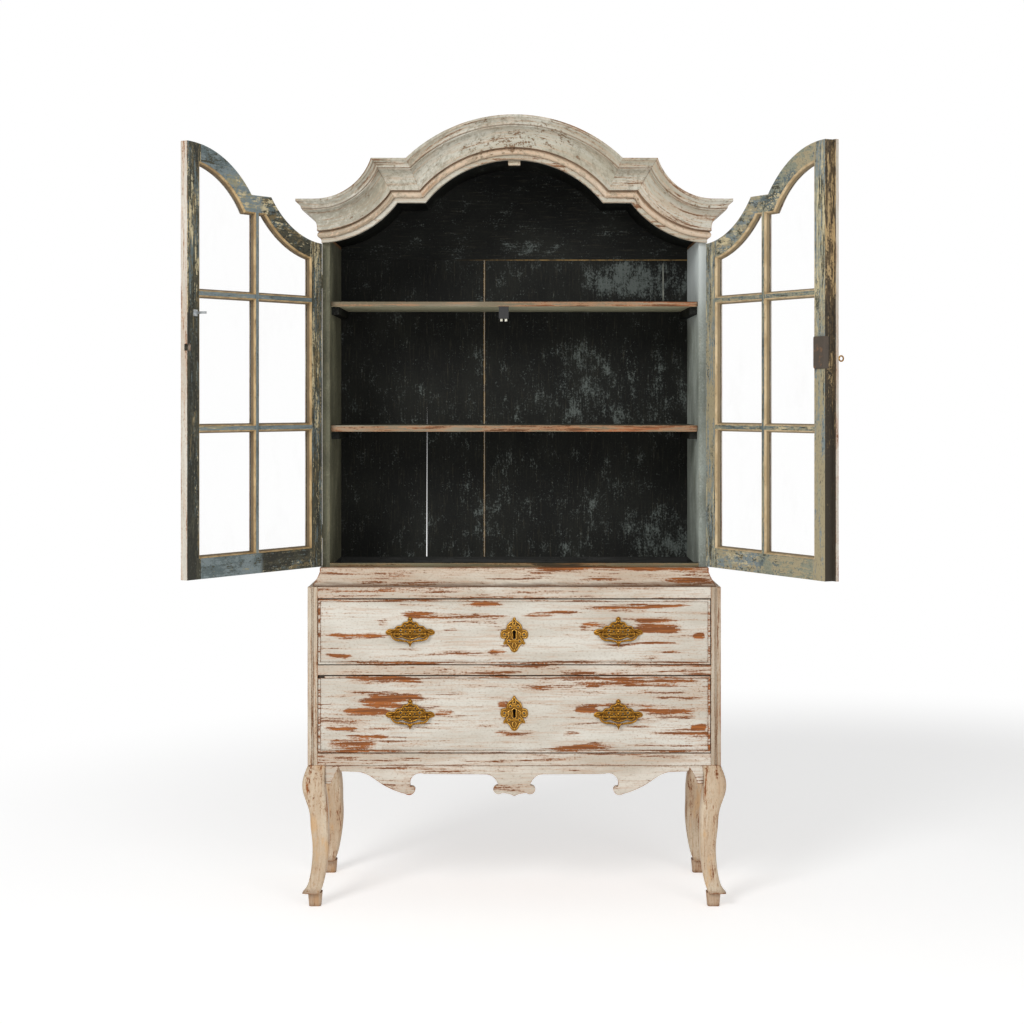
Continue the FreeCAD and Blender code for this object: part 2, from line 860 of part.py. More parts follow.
def roller_catch():
    bottom = upper_shelf - catch_drop
    x = (catch_x - catch_width / 2, catch_x + catch_width / 2)
    body = [box(x, (shelf_front, shelf_front + catch_depth), (bottom, upper_shelf))]
    rollers = []
    down = Vec(0, 0, -1)
    pin_length = roller_height + 2 * roller_play
    for side in (-1, 1):
        top = Vec(catch_x + side * (roller_gap / 2 + roller_radius), shelf_front + roller_setback, bottom)
        body.append(rod(top, down, pin_length, roller_pin))
        body.append(rod(top + down * pin_length, down, 1, roller_pin_head))
        start = top + down * roller_play
        roller = rod(start, down, roller_height, roller_radius)
        rollers.append(roller.cut(rod(start, down, roller_height, roller_pin + running_fit)))
    return joined(body), rollers


def doors():
    pieces, opening = door_frame()
    bars, glass, fillets = glazing_bars(opening), panes(), putty()
    leaves = [hinge(level, True) for level in hinge_levels]
    lock_case, bolt, key, lock_cuts = lock_parts()
    axis = Vec(0, 0, 1)

    lip_x = (-lip_width, door_edge[0] + lip_cover)
    lip = board(light(lip_x, (door_bottom, 0.0), door_rise, 0.0), (door_front - lip_thick, door_front))
    lip = lip.cut(box((-lip_width, door_edge[0]), (door_front - lip_clearance, door_front), (0, arch_apex)))
    room = mortise_clearance
    mortise_y = (door_back - lock_let_in + lock_wall - room, door_back + 1)
    mortise = box((-bolt_throw - room, 0), mortise_y, (bolt_z[0] - room, bolt_z[1] + room))

    for side, open_angle in (("left", left_open_angle), ("right", right_open_angle)):
        groups = {node: [shape] for node, shape in pieces.items()}
        groups.update(glazing_bars=bars, panes=glass, putty=fillets, hinge_leaves=leaves)
        turn, centre = open_angle, Vec(hinge_x, hinge_y, 0)
        if side == "left":
            groups = {node: [mirrored(shape) for shape in shapes] for node, shapes in groups.items()}
            groups["meeting_stile"] = [groups["meeting_stile"][0].cut(mortise)]
            groups.update(strike=[strike()])
            turn, centre = -open_angle, Vec(-hinge_x, hinge_y, 0)
        else:
            stile = joined([groups["meeting_stile"][0], lip]).cut(lock_cuts)
            groups["meeting_stile"] = [stile]
            groups.update(lock_case=[lock_case], lock_bolt=[bolt], lock_key=[key])
        for node, shapes in groups.items():
            export(side + "_door_" + node, turned(shapes, centre, axis, turn))

    export("hinge_pintles", [shape for level in hinge_levels for shape in both_sides(hinge(level, False))])
    body, rollers = roller_catch()
    export("roller_catch", [body])
    export("catch_roller_left", rollers[:1])
    export("catch_roller_right", rollers[1:])


# Drawers with their brasses
def keyhole_cut(z, y):
    radius = keyhole_width / 2
    half = keyhole_height / 2 - radius
    back = Vec(0, 1, 0)
    ends = [rod(Vec(0, y[0], z + offset), back, y[1] - y[0], radius) for offset in (-half, half)]
    return joined(ends + [box((-radius, radius), y, (z - half, z + half))])


def brass_plate(half_outline, holes, x, z):
    left = [Vec(-u, 0, w) for u, w in reversed(half_outline[1:-1])]
    loop = [Vec(u, 0, w) for u, w in half_outline] + left
    plate = board([closed_curve(loop)], (0, plate_thick))
    for u, w, radius in holes:
        for side in (-1, 1):
            plate = plate.cut(rod(Vec(side * u, 0, w), Vec(0, 1, 0), plate_thick, radius))
    plate.translate(Vec(x, drawer_face - plate_thick, z))
    return plate


def handle_plate(x, z):
    outline_points = [
        (0, 41), (6, 35), (5, 28), (16, 27), (24, 17), (34, 17), (43, 8),
        (52, 9), (62, 4), (64, -2), (56, -7), (46, -9), (36, -16), (22, -13),
        (10, -18), (0, -20),
    ]
    holes = [(14, 17, 2.8), (25, 6, 3.2), (12, 3, 2.6), (24, -5, 2.4)]
    plate = brass_plate(outline_points, holes, x, z)
    front = Vec(0, -1, 0)
    posts = []
    for side in (-1, 1):
        foot = Vec(x + side * post_x, drawer_face - plate_thick, z + post_drop)
        post = rod(foot, front, post_length, post_radius)
        eye_start = foot + Vec(-10, -bail_reach, 0)
        posts.append(post.cut(rod(eye_start, Vec(1, 0, 0), 20, bail_pin + running_fit)))
    return joined([plate] + posts)


def escutcheon(z):
    outline_points = [
        (0, 46), (6, 37), (12, 32), (19, 23), (22, 14), (31, 12), (36, 2),
        (33, -9), (24, -11), (28, -25), (20, -25), (13, -31), (8, -41), (0, -46),
    ]
    holes = [(10, 19, 2.8), (26, 1, 3.0), (14, -17, 2.8)]
    return brass_plate(outline_points, holes, 0.0, z)


def bail(x, z):
    y = drawer_face - plate_thick - bail_reach
    place = Vec(x, y, z + post_drop)
    half = post_x + post_radius + bail_post_gap
    half_path = [(half, 0), (half - 1.5, -8), (half - 10, -15), (half / 2, -17), (11, -19), (0, -bail_fall)]
    path = [Vec(-u, 0, w) for u, w in half_path] + [Vec(u, 0, w) for u, w in reversed(half_path[:-1])]
    spine = Part.Wire([curve(path)])
    start = spine.Edges[0]
    ring = Part.Circle(path[0], start.tangentAt(start.FirstParameter), bail_rod).toShape()
    hoop = spine.makePipeShell([Part.Wire([ring])], True, True)
    ends = []
    for side in (-1, 1):
        end = Vec(side * half, 0, 0)
        ends.append(Part.makeSphere(bail_rod, end))
        ends.append(rod(end, Vec(-side, 0, 0), half - post_x + bail_pin_end, bail_pin))
    drop = Part.makeSphere(drop_radius, Vec(0, 0, -bail_fall - 2))
    point = Part.makeCone(drop_radius * 0.85, 0.8, drop_point, Vec(0, 0, -bail_fall - 4.4), Vec(0, 0, -1))
    handle = joined([hoop] + ends + [drop, point])
    handle.translate(place)
    return handle


def drawer(name, levels_z, keyhole_lift, chipped):
    low, high = levels_z
    handle_z, keyhole_z = [(low + high) / 2 + lift for lift in (handle_lift, keyhole_lift)]
    panel_back = chest_front + facing_board
    panel = box((-drawer_half, drawer_half), (drawer_face, panel_back), levels_z)
    lip_y = (drawer_face - drawer_lip, drawer_face)
    rim = box((-drawer_half, drawer_half), lip_y, levels_z)
    field_x = drawer_half - drawer_lip_width
    field = box((-field_x, field_x), lip_y, (low + drawer_lip_width, high - drawer_lip_width))
    rim = rim.cut(field)
    front_edges = [edge for edge in rim.Edges if edge.BoundBox.YMax < lip_y[0] + 0.01]
    rim = rim.makeFillet(drawer_lip_round, front_edges)
    front = joined([panel, rim]).cut(keyhole_cut(keyhole_z, (drawer_face - 1, panel_back + 1)))
    if chipped:
        chip_x = (-drawer_half - 1, -drawer_half + chip_width)
        chip_y = (lip_y[0] - 1, panel_back - chip_backing)
        front = front.cut(box(chip_x, chip_y, (high - chip_height, high + 1)))
    export(name + "_drawer_front", [front])

    inner = drawer_box_half - drawer_wall
    box_top = high - drawer_box_drop
    box_y = (panel_back, drawer_box_back - drawer_wall)
    sides = both_sides(box((inner, drawer_box_half), (panel_back, drawer_box_back), (low, box_top)))
    back = box((-inner, inner), (box_y[1], drawer_box_back), (low, box_top))
    floor = low + drawer_bottom_rise
    bottom = box((-inner, inner), box_y, (floor, floor + drawer_bottom_board))
    export(name + "_drawer_box", sides + [back, bottom])

    lock_x = (-drawer_lock_width / 2, drawer_lock_width / 2)
    lock_y = (panel_back, panel_back + drawer_lock_depth)
    foot = keyhole_z - drawer_lock_drop
    lock = box(lock_x, lock_y, (foot, foot + drawer_lock_height))
    lock = lock.cut(keyhole_cut(keyhole_z, (panel_back - 1, lock_y[1] - lock_wall)))
    export(name + "_drawer_lock", [lock])

    shield = escutcheon(keyhole_z)
    shield = shield.cut(keyhole_cut(keyhole_z, (drawer_face - plate_thick - 1, drawer_face + 1)))
    plates = [handle_plate(side * handle_x, handle_z) for side in (-1, 1)]
    export(name + "_drawer_plates", plates + [shield])
    export(name + "_left_bail", [bail(-handle_x, handle_z)])
    export(name + "_right_bail", [bail(handle_x, handle_z)])


chest_carcass()
stand()
waist()
glazed_case()
roof()
back_boards()
shelves()
cornice()
doors()
drawer("lower", lower_drawer_z, lower_keyhole_lift, True)
drawer("upper", upper_drawer_z, upper_keyhole_lift, False)
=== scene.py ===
import json
import math

import bmesh
import bpy
from mathutils import Matrix, Vector


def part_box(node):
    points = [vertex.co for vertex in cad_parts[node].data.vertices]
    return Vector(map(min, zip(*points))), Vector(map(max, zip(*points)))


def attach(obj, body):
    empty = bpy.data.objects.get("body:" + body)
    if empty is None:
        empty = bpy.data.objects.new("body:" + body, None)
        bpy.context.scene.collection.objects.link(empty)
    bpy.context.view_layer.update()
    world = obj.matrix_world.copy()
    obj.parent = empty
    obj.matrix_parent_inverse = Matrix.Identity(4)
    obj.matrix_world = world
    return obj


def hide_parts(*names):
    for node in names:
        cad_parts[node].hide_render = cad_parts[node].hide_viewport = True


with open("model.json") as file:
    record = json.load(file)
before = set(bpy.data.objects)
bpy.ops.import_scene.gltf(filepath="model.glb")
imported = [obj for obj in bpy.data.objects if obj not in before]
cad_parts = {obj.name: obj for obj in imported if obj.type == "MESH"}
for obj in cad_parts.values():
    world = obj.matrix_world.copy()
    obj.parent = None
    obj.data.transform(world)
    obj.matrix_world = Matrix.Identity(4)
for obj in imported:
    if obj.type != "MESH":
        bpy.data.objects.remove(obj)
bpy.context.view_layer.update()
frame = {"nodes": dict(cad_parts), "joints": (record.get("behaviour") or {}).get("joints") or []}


# Legs
# Four cabriole legs, each sawn and carved from one post of pine and tenoned up into the corner posts.
# Brushed with cream paint, now rubbed to tan on the arrises and chipped to red-brown wood at the knees.
def tint(red, green, blue):
    """A colour as it is seen, each part from 0 to 255, as the light values that a shader takes."""
    parts = [part / 255 for part in (red, green, blue)]
    return (*[part / 12.92 if part < 0.04 else ((part + 0.055) / 1.055) ** 2.4 for part in parts], 1.0)


class Value:
    """One output of a shader node, on which arithmetic adds Math nodes.

    Of two masks, | keeps the larger and & keeps the smaller.
    """

    def __init__(self, finish, socket):
        self.finish = finish
        self.socket = socket

    def maths(self, operation, first, second=0.0):
        return self.finish.node("ShaderNodeMath", {"operation": operation}, {0: first, 1: second})

    def __add__(self, other):
        return self.maths("ADD", self, other)

    def __sub__(self, other):
        return self.maths("SUBTRACT", self, other)

    def __rsub__(self, other):
        return self.maths("SUBTRACT", other, self)

    def __mul__(self, other):
        return self.maths("MULTIPLY", self, other)

    def __truediv__(self, other):
        return self.maths("DIVIDE", self, other)

    def __pow__(self, other):
        return self.maths("POWER", self, other)

    def __mod__(self, other):
        return self.maths("FLOORED_MODULO", self, other)

    def __abs__(self):
        return self.maths("ABSOLUTE", self)

    def __or__(self, other):
        return self.maths("MAXIMUM", self, other)

    def __and__(self, other):
        return self.maths("MINIMUM", self, other)

    __radd__ = __add__
    __rmul__ = __mul__


class Shading:
    """The nodes of one material, or of the world."""

    def __init__(self, tree):
        self.tree = tree

    def node(self, kind, settings=None, sockets=None, output=0):
        made = self.tree.nodes.new(kind)
        for name, value in (settings or {}).items():
            setattr(made, name, value)
        for name, value in (sockets or {}).items():
            self.put(made.inputs[name], value)
        return Value(self, made.outputs[output])

    def put(self, socket, value):
        if isinstance(value, Value):
            self.tree.links.new(value.socket, socket)
        else:
            socket.default_value = value

    def seen(self):
        """1 on a ray from the camera, or on one mirrored or let through on its way there."""
        rays = ["Is Camera Ray", "Is Glossy Ray", "Is Transmission Ray"]
        camera, mirrored, through = [self.node("ShaderNodeLightPath", output=ray) for ray in rays]
        return camera | mirrored | through


class Finish(Shading):
    """One material, worked out in the piece's own space, with the wood's grain along one axis."""

    def __init__(self, name, grain="X"):
        self.material = bpy.data.materials.new(name)
        self.material.use_nodes = True
        super().__init__(self.material.node_tree)
        self.shader = self.tree.nodes["Principled BSDF"]
        self.grain = grain
        self.set_place(self.node("ShaderNodeTexCoord", output="Object"))
        self.set_facing(self.node("ShaderNodeTexCoord", output="Normal"))

    def feed(self, **sockets):
        for name, value in sockets.items():
            self.put(self.shader.inputs[name.replace("_", " ")], value)

    def split(self, vector):
        first = self.node("ShaderNodeSeparateXYZ", {}, {0: vector})
        return [Value(self, socket) for socket in first.socket.node.outputs]

    def join(self, x, y, z):
        return self.node("ShaderNodeCombineXYZ", {}, {0: x, 1: y, 2: z})

    def set_place(self, vector):
        self.place = vector
        self.x, self.y, self.z = self.split(vector)

    def set_facing(self, vector):
        self.facing = vector
        self.facing_x, self.facing_y, self.facing_z = self.split(vector)

    def noise(self, along, across, detail=4.0, rough=0.6, seed=0.0):
        """Clouds with values about 0.5: so many to a metre along the grain, and so many across it."""
        scale = [across] * 3
        scale["XYZ".index(self.grain)] = along
        stretched = self.node("ShaderNodeVectorMath", {"operation": "MULTIPLY"}, {0: self.place, 1: scale})
        sockets = {"Vector": stretched, "W": seed, "Scale": 1.0, "Detail": detail, "Roughness": rough}
        return self.node("ShaderNodeTexNoise", {"noise_dimensions": "4D"}, sockets)

    def ramp(self, value, low, high):
        """0 at low and 1 at high, smooth between; low may be the larger."""
        settings = {"interpolation_type": "SMOOTHSTEP"}
        return self.node("ShaderNodeMapRange", settings, {0: value, 1: low, 2: high})

    def mix(self, share, first, second):
        return self.node("ShaderNodeMix", {"data_type": "RGBA"}, {0: share, 6: first, 7: second}, 2)

    def spot(self, x, z, half_x, half_z):
        """A soft round patch on a front or back face, 1 at its middle."""
        across = (self.x - x) / half_x
        up = (self.z - z) / half_z
        return self.ramp(1 - across * across - up * up, 0.0, 1.0)

    def edge(self, radius):
        """Above 0 near an arris, where the surface turns within this radius."""
        rounded = self.node("ShaderNodeBevel", {"samples": 6}, {"Radius": radius})
        plain = self.node("ShaderNodeNewGeometry", output="Normal")
        settings = {"operation": "DOT_PRODUCT"}
        return 1 - self.node("ShaderNodeVectorMath", settings, {0: rounded, 1: plain}, "Value")

    def hollow(self, reach, alone=True):
        """Up to 1 in corners and recesses, where dirt stays and shade falls; alone leaves out the shade of
        other pieces.
        """
        settings = {"samples": 6, "only_local": alone}
        return 1 - self.node("ShaderNodeAmbientOcclusion", settings, {"Distance": reach}, "AO")

    def relief(self, height, depth, strength):
        """Bumps that catch the light: height runs from 0 to 1, and 1 stands for depth in metres."""
        sockets = {"Strength": strength, "Distance": depth, "Height": height}
        self.feed(Normal=self.node("ShaderNodeBump", {}, sockets))

    def lay(self, colour, height, depth, rough=(0.62, 0.88)):
        """Puts on a colour with its relief; rough is the roughness of the highest and the lowest parts."""
        high, low = rough
        self.feed(Base_Color=colour, Roughness=height * (high - low) + low)
        self.relief(height, depth, 0.8)


def old_paint(finish, coat, thin, bare, limit, rub=0.5, more=0.0):
    """Chalky paint, thin in drifts and gone where wear passes limit; gives colour and height.

    Rub is how much the arrises wear, and more is wear that is laid out by the piece itself.
    """
    grey_grit = tint(140, 128, 108)
    brown_dirt_and_shade = tint(84, 64, 44)
    drifts = finish.noise(1.5, 6, 3, 0.55, seed=5)
    streaks = finish.noise(5, 80, 6, 0.7)
    fibres = finish.noise(8, 190, 4, 0.7, seed=9)
    grit = finish.noise(150, 240, 3, 0.75, seed=13)
    chipping = finish.ramp(finish.noise(16, 40, 4, 0.7, seed=17), 0.34, 0.62)
    worn = streaks + (fibres - 0.5) * 0.7 + (drifts - 0.5) * 0.5 + (grit - 0.5) * 0.3
    worn = worn + finish.edge(0.005) * chipping * rub + more
    scraped = finish.ramp(worn, limit, limit + 0.02)
    thinned = finish.ramp(worn, limit - 0.14, limit)
    # Dirt and painted shade: dark brown in corners, recesses and where other pieces shut out light, broken
    # up by streaks and grit.
    corners = finish.hollow(0.014, alone=False)
    dirt = finish.ramp(corners + (streaks - 0.5) * 0.5 + (grit - 0.5) * 0.4, 0.17, 0.52)
    paint = finish.mix(finish.ramp(finish.noise(3, 14, 5, 0.6, seed=1), 0.36, 0.64), coat[0], coat[1])
    paint = finish.mix(finish.ramp(fibres, 0.50, 0.62) * 0.6 | thinned * 0.75, paint, thin)
    paint = finish.mix(finish.ramp(grit, 0.50, 0.68) * 0.35, paint, grey_grit)
    wood = finish.mix(finish.ramp(fibres, 0.40, 0.60), bare[0], bare[1])
    specks = finish.ramp(grit + (drifts - 0.5) * 0.4, 0.63, 0.70)
    colour = finish.mix(scraped | specks * 0.6, paint, wood)
    colour = finish.mix(dirt * 0.75, colour, brown_dirt_and_shade)
    height = (1 - scraped) * 0.55 - thinned * 0.15 + fibres * 0.4 + grit * 0.2
    return colour, height


def dress(finish, *names):
    """Gives the finish to these pieces of the frame."""
    for name in names:
        for place in frame["nodes"][name].material_slots:
            place.material = finish.material


def soften(width, *names):
    """Rubs the sharp arrises of planed boards round, as on any old painted wood."""
    for name in names:
        piece = frame["nodes"][name]
        weld = piece.modifiers.new("weld", "WELD")
        weld.merge_threshold = 0.00002
        flat = piece.modifiers.new("flat", "DECIMATE")
        flat.decimate_type = "DISSOLVE"
        flat.angle_limit = math.radians(1)
        rounded = piece.modifiers.new("rounded", "BEVEL")
        rounded.width = width
        rounded.segments = 3
        rounded.limit_method = "ANGLE"
        rounded.angle_limit = math.radians(40)
        even = piece.modifiers.new("even", "WEIGHTED_NORMAL")
        even.keep_sharp = True


white_coat = (tint(211, 206, 195), tint(190, 182, 168))
pink_thin = tint(191, 162, 138)
red_pine = (tint(164, 95, 40), tint(114, 64, 26))
cream_coat = (tint(212, 196, 172), tint(188, 164, 136))
tan_thin = tint(176, 140, 106)

leg_finish = Finish("cream_leg_paint", "Z")
knees = leg_finish.ramp(leg_finish.z, 0.22, 0.33) * 0.05
leg_colour, leg_height = old_paint(leg_finish, cream_coat, tan_thin, red_pine, 0.625, 1.1, knees)
tan_patches = leg_finish.ramp(leg_finish.noise(9, 24, 4, 0.65, seed=25), 0.53, 0.66)
leg_colour = leg_finish.mix(tan_patches * 0.55, leg_colour, tint(204, 160, 108))
uneven_z = leg_finish.z + (leg_finish.noise(30, 40, 3, seed=27) - 0.5) * 0.03
scuffed_foot = leg_finish.ramp(uneven_z, 0.050, 0.036)
leg_colour = leg_finish.mix(scuffed_foot * 0.45, leg_colour, tint(132, 88, 52))
broken_toe = leg_finish.ramp(leg_finish.x, 0.535, 0.545) & leg_finish.ramp(leg_finish.z, 0.030, 0.022)
leg_colour = leg_finish.mix(broken_toe * 0.85, leg_colour, tint(196, 128, 74))
leg_finish.lay(leg_colour, leg_height, 0.0008)
dress(leg_finish, "legs_front", "legs_back")


# Chest carcass and apron
# Pine boards: two grooved corner posts, plain sides, rails between the drawers and a fretted apron below.
# Mortised and pegged together, then painted off-white and dry scraped, so the grain shows in red streaks.
# The back, the top under the glazed case and the drawers' runners are bare pine.
rail_finish = Finish("white_rail_paint", "X")
rail_coat = (tint(211, 203, 190), tint(185, 173, 156))
rail_finish.lay(*old_paint(rail_finish, rail_coat, pink_thin, red_pine, 0.598, 1.1), 0.0008)
dress(rail_finish, "frieze_rail", "drawer_divider", "bottom_rail", "apron")

post_finish = Finish("white_post_paint", "Z")
post_coat = (tint(202, 190, 171), tint(176, 158, 136))
right_post = post_finish.ramp(post_finish.x, 0.3, 0.5) * 0.03
post_colour, post_height = old_paint(post_finish, post_coat, tan_thin, red_pine, 0.63, 1.0, right_post)
post_finish.lay(post_finish.mix(right_post * 6, post_colour, tint(128, 112, 92)), post_height, 0.0008)
dress(post_finish, "corner_posts", "chest_sides")
soften(0.0012, "corner_posts", "chest_sides", "frieze_rail", "drawer_divider", "bottom_rail")


def bare_pine(finish, pine):
    """Unpainted board: bands of growth rings, fine fibres and age stains; gives colour and height."""
    bend = finish.noise(0.9, 5, 3, seed=2)
    rings = finish.noise(0.8, 60, 3, 0.5, seed=3)
    fibres = finish.noise(8, 500, 3, 0.7, seed=4)
    stain = finish.ramp(finish.noise(1.6, 4, 4, 0.65, seed=6), 0.45, 0.7)
    figure = finish.ramp(abs((rings + bend * 0.6) * 9 % 1.0 - 0.5), 0.0, 0.5)
    wood = finish.mix(figure * 0.55 + fibres * 0.4, pine[0], pine[1])
    return finish.mix(stain * 0.35, wood, tint(70, 50, 36)), fibres * 0.6 + figure * 0.3


board_pine = (tint(170, 130, 90), tint(120, 84, 54))
board_rough = (0.6, 0.85)
board_finish = Finish("bare_pine_boards", "X")
board_finish.lay(*bare_pine(board_finish, board_pine), 0.0007, board_rough)
dress(board_finish, "chest_back", "chest_top", "drawer_runners")
soften(0.001, "chest_back", "chest_top", "drawer_runners")


# Drawers
# Two dovetailed pine boxes on runners, each with a painted front whose edges are moulded into a small lip.
# The fronts were scraped hardest, in long marks along the grain that are laid out here one by one.
def scrapes(finish, marks):
    """Where the scraper took the paint off, up to 1 at the middle of each mark."""
    wobble = (finish.noise(12, 16, 4, 0.6, seed=21) - 0.5) * 0.022
    most = finish.x * 0.0
    for left, right, height, half, slope in marks:
        along = (finish.x - (left + right) / 2) / ((right - left) / 2)
        across = (finish.z + wobble - height - along * (slope * (right - left) / 2)) / half
        most = most | (1 - along * along * along * along - across * across * 0.28)
    return most


# A mark is its left end, right end, height and half height in metres, and then its slope.
upper_marks = [
    (-0.487, -0.320, 0.707, 0.006, 0.0), (-0.290, 0.015, 0.754, 0.008, -0.03),
    (-0.359, -0.325, 0.738, 0.006, 0.0), (-0.192, -0.145, 0.728, 0.006, 0.0),
    (-0.118, -0.024, 0.791, 0.005, 0.0), (-0.071, -0.015, 0.668, 0.006, 0.0),
    (0.010, 0.170, 0.764, 0.005, 0.09), (0.156, 0.480, 0.784, 0.007, 0.03),
    (0.165, 0.270, 0.733, 0.007, 0.0), (0.300, 0.444, 0.731, 0.012, 0.0),
    (0.230, 0.449, 0.686, 0.003, 0.02), (0.465, 0.500, 0.705, 0.007, 0.0),
    (-0.300, -0.200, 0.765, 0.005, 0.0), (-0.500, -0.420, 0.655, 0.004, 0.0),
]
lower_marks = [
    (-0.458, -0.233, 0.590, 0.006, 0.0), (-0.414, -0.233, 0.539, 0.012, 0.04),
    (-0.453, -0.320, 0.509, 0.006, 0.0), (-0.212, -0.152, 0.506, 0.004, 0.0),
    (-0.505, -0.406, 0.464, 0.005, 0.0), (-0.445, -0.325, 0.441, 0.006, 0.0),
    (-0.505, -0.354, 0.421, 0.010, 0.0), (-0.045, -0.011, 0.532, 0.007, 0.0),
    (0.148, 0.509, 0.587, 0.007, 0.0), (0.315, 0.490, 0.511, 0.009, -0.06),
    (0.156, 0.221, 0.516, 0.007, 0.0), (-0.058, 0.070, 0.454, 0.005, 0.0),
    (0.122, 0.177, 0.454, 0.005, 0.0), (0.088, 0.281, 0.418, 0.007, 0.03),
    (0.459, 0.506, 0.472, 0.006, 0.0),
]
lip_foot = 0.0075
lip_top = 0.0055
for drawer, marks in (("upper_drawer", upper_marks), ("lower_drawer", lower_marks)):
    low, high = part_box(drawer + "_front")
    middle = (low[2] + high[2]) / 2
    half_height = (high[2] - low[2]) / 2
    half_width = high[0]
    front_finish = Finish("scraped_" + drawer + "_front", "X")
    lip = front_finish.ramp(abs(front_finish.z - middle), half_height - lip_foot, half_height - lip_top)
    lip = lip | front_finish.ramp(abs(front_finish.x), half_width - lip_foot, half_width - lip_top)
    wear = (scrapes(front_finish, marks) | 0.0) * 0.22 + lip * 0.10
    front_finish.lay(*old_paint(front_finish, white_coat, pink_thin, red_pine, 0.638, 1.0, wear), 0.0009)
    dress(front_finish, drawer + "_front")
    dress(board_finish, drawer + "_box")
soften(0.0008, "upper_drawer_box", "lower_drawer_box")


# Drawer brasses
# Pierced rococo backplates and keyhole plates of cast brass; each handle is a bail hung in two eyes.
# The scrolls are chased. Dirt and tarnish stay in their hollows, and the ridges are rubbed bright.
def ring(u, w, radius, thick, h=2.6):
    """A raised ring round a piercing, as a closed rib."""
    turns = [math.tau * step / 8 for step in range(8)]
    return [(u + radius * math.cos(a), w + radius * math.sin(a), h, thick) for a in turns], True


def rib(*points):
    """A raised line of the chasing; each point is across, up, forward and half width, in millimetres."""
    return list(points), False


def both_halves(lines):
    mirrored = [([(-u, w, h, thick) for u, w, h, thick in points], closed) for points, closed in lines]
    return lines + mirrored


def smooth_spline(curve, points, closed):
    spline = curve.splines.new("BEZIER")
    spline.bezier_points.add(len(points) - 1)
    for knot, (u, w, h, thick) in zip(spline.bezier_points, points):
        knot.co = (u, w, h)
        knot.radius = thick
        knot.handle_left_type = "AUTO"
        knot.handle_right_type = "AUTO"
    spline.use_cyclic_u = closed
    spline.resolution_u = 6


def mesh_of(source):
    """The finished mesh of a curve, or of an object with modifiers, which is then thrown away."""
    bpy.context.scene.collection.objects.link(source)
    mesh = bpy.data.meshes.new_from_object(source.evaluated_get(bpy.context.evaluated_depsgraph_get()))
    bpy.data.objects.remove(source)
    return mesh


def casting(name, outline, holes, lines, beads, grain):
    """One smooth brass skin from a pierced plate, its ribs and its beads, face up and in millimetres."""
    half_thick = 1.25
    shape = bmesh.new()
    if outline:
        plate = bpy.data.curves.new(name + "_plate", "CURVE")
        plate.dimensions = "2D"
        plate.fill_mode = "BOTH"
        plate.extrude = half_thick
        mirrored = [(-u, w) for u, w in outline[-2:0:-1]]
        smooth_spline(plate, [(u, w, 0, 1) for u, w in outline + mirrored], True)
        for points, closed in holes:
            smooth_spline(plate, points, closed)
        shape.from_mesh(mesh_of(bpy.data.objects.new(name + "_plate", plate)))
        bmesh.ops.translate(shape, verts=shape.verts, vec=(0, 0, half_thick))
    chasing = bpy.data.curves.new(name + "_chasing", "CURVE")
    chasing.dimensions = "3D"
    chasing.bevel_depth = 1.0
    chasing.bevel_resolution = 3
    chasing.use_fill_caps = True
    for points, closed in lines:
        smooth_spline(chasing, points, closed)
    shape.from_mesh(mesh_of(bpy.data.objects.new(name + "_chasing", chasing)))
    for u, w, h, radius in beads:
        made = bmesh.ops.create_uvsphere(shape, u_segments=16, v_segments=10, radius=radius)
        bmesh.ops.translate(shape, verts=made["verts"], vec=(u, w, h))
    rough = bpy.data.meshes.new(name + "_rough")
    shape.to_mesh(rough)
    shape.free()
    skin = bpy.data.objects.new(name + "_rough", rough)
    cast = skin.modifiers.new("cast", "REMESH")
    cast.mode = "VOXEL"
    cast.voxel_size = grain
    worn = skin.modifiers.new("worn", "SMOOTH")
    worn.factor = 0.5
    worn.iterations = 2
    mesh = mesh_of(skin)
    mesh.transform(Matrix.Rotation(math.radians(90), 4, "X") @ Matrix.Scale(0.001, 4))
    mesh.polygons.foreach_set("use_smooth", [True] * len(mesh.polygons))
    mesh.name = name
    return mesh


handle_outline = [
    (0, 41), (6, 35), (5, 28), (16, 27), (24, 17), (34, 17), (43, 8), (52, 9), (62, 4), (64, -2),
    (56, -7), (46, -9), (36, -16), (22, -13), (10, -18), (0, -20),
]
handle_eyes = [ring(14, 17, 2.8, 1), ring(25, 6, 3.2, 1), ring(12, 3, 2.6, 1), ring(24, -5, 2.4, 1)]
handle_chasing = [
    ring(14, 17, 4.6, 1.5), ring(25, 6, 4.9, 1.4), ring(12, 3, 4.2, 1.2), ring(24, -5, 4.0, 1.2),
    rib((2, 33, 2.5, 1.4), (7, 26, 3.0, 1.8), (16, 25, 3.0, 1.6), (23, 16, 3.2, 1.9), (33, 15, 3.0, 1.6),
        (41, 7, 3.0, 1.9), (51, 7, 2.8, 1.5), (62, 1, 2.4, 0.9)),
    rib((0, -17, 2.6, 1.5), (10, -15, 3.2, 1.8), (22, -11, 3.0, 1.5), (35, -13, 3.0, 1.9),
        (45, -7, 2.8, 1.5), (58, -4, 2.4, 1.0)),
    rib((33, 9, 2.8, 1.1), (39, 2, 3.0, 1.7), (33, -5, 3.0, 1.5), (31, 1, 3.2, 1.3)),
    rib((45, 3, 2.6, 1.0), (52, 1, 3.0, 1.8), (60, -1, 2.4, 0.8)),
    rib((2, -10, 3.4, 1.2), (4, -2, 4.2, 1.6), (6, 6, 3.8, 1.4), (5, 12, 3.2, 1.0)),
    rib((3, 22, 3.0, 1.2), (6, 16, 3.6, 1.6), (4, 11, 3.4, 1.1)),
]
eye = [(41, -3 + 3.4 * math.cos(a), 10 + 3.4 * math.sin(a), 1.3) for a in (0, 0.9, 1.8, 2.7, 3.6, 4.5, 5.4)]
eye_post = [(41, -3, 2, 2.6), (41, -3, 4, 2.2), (41, -3, 6.6, 1.9)]
handle_chasing += [(eye, True), (eye_post, False)]
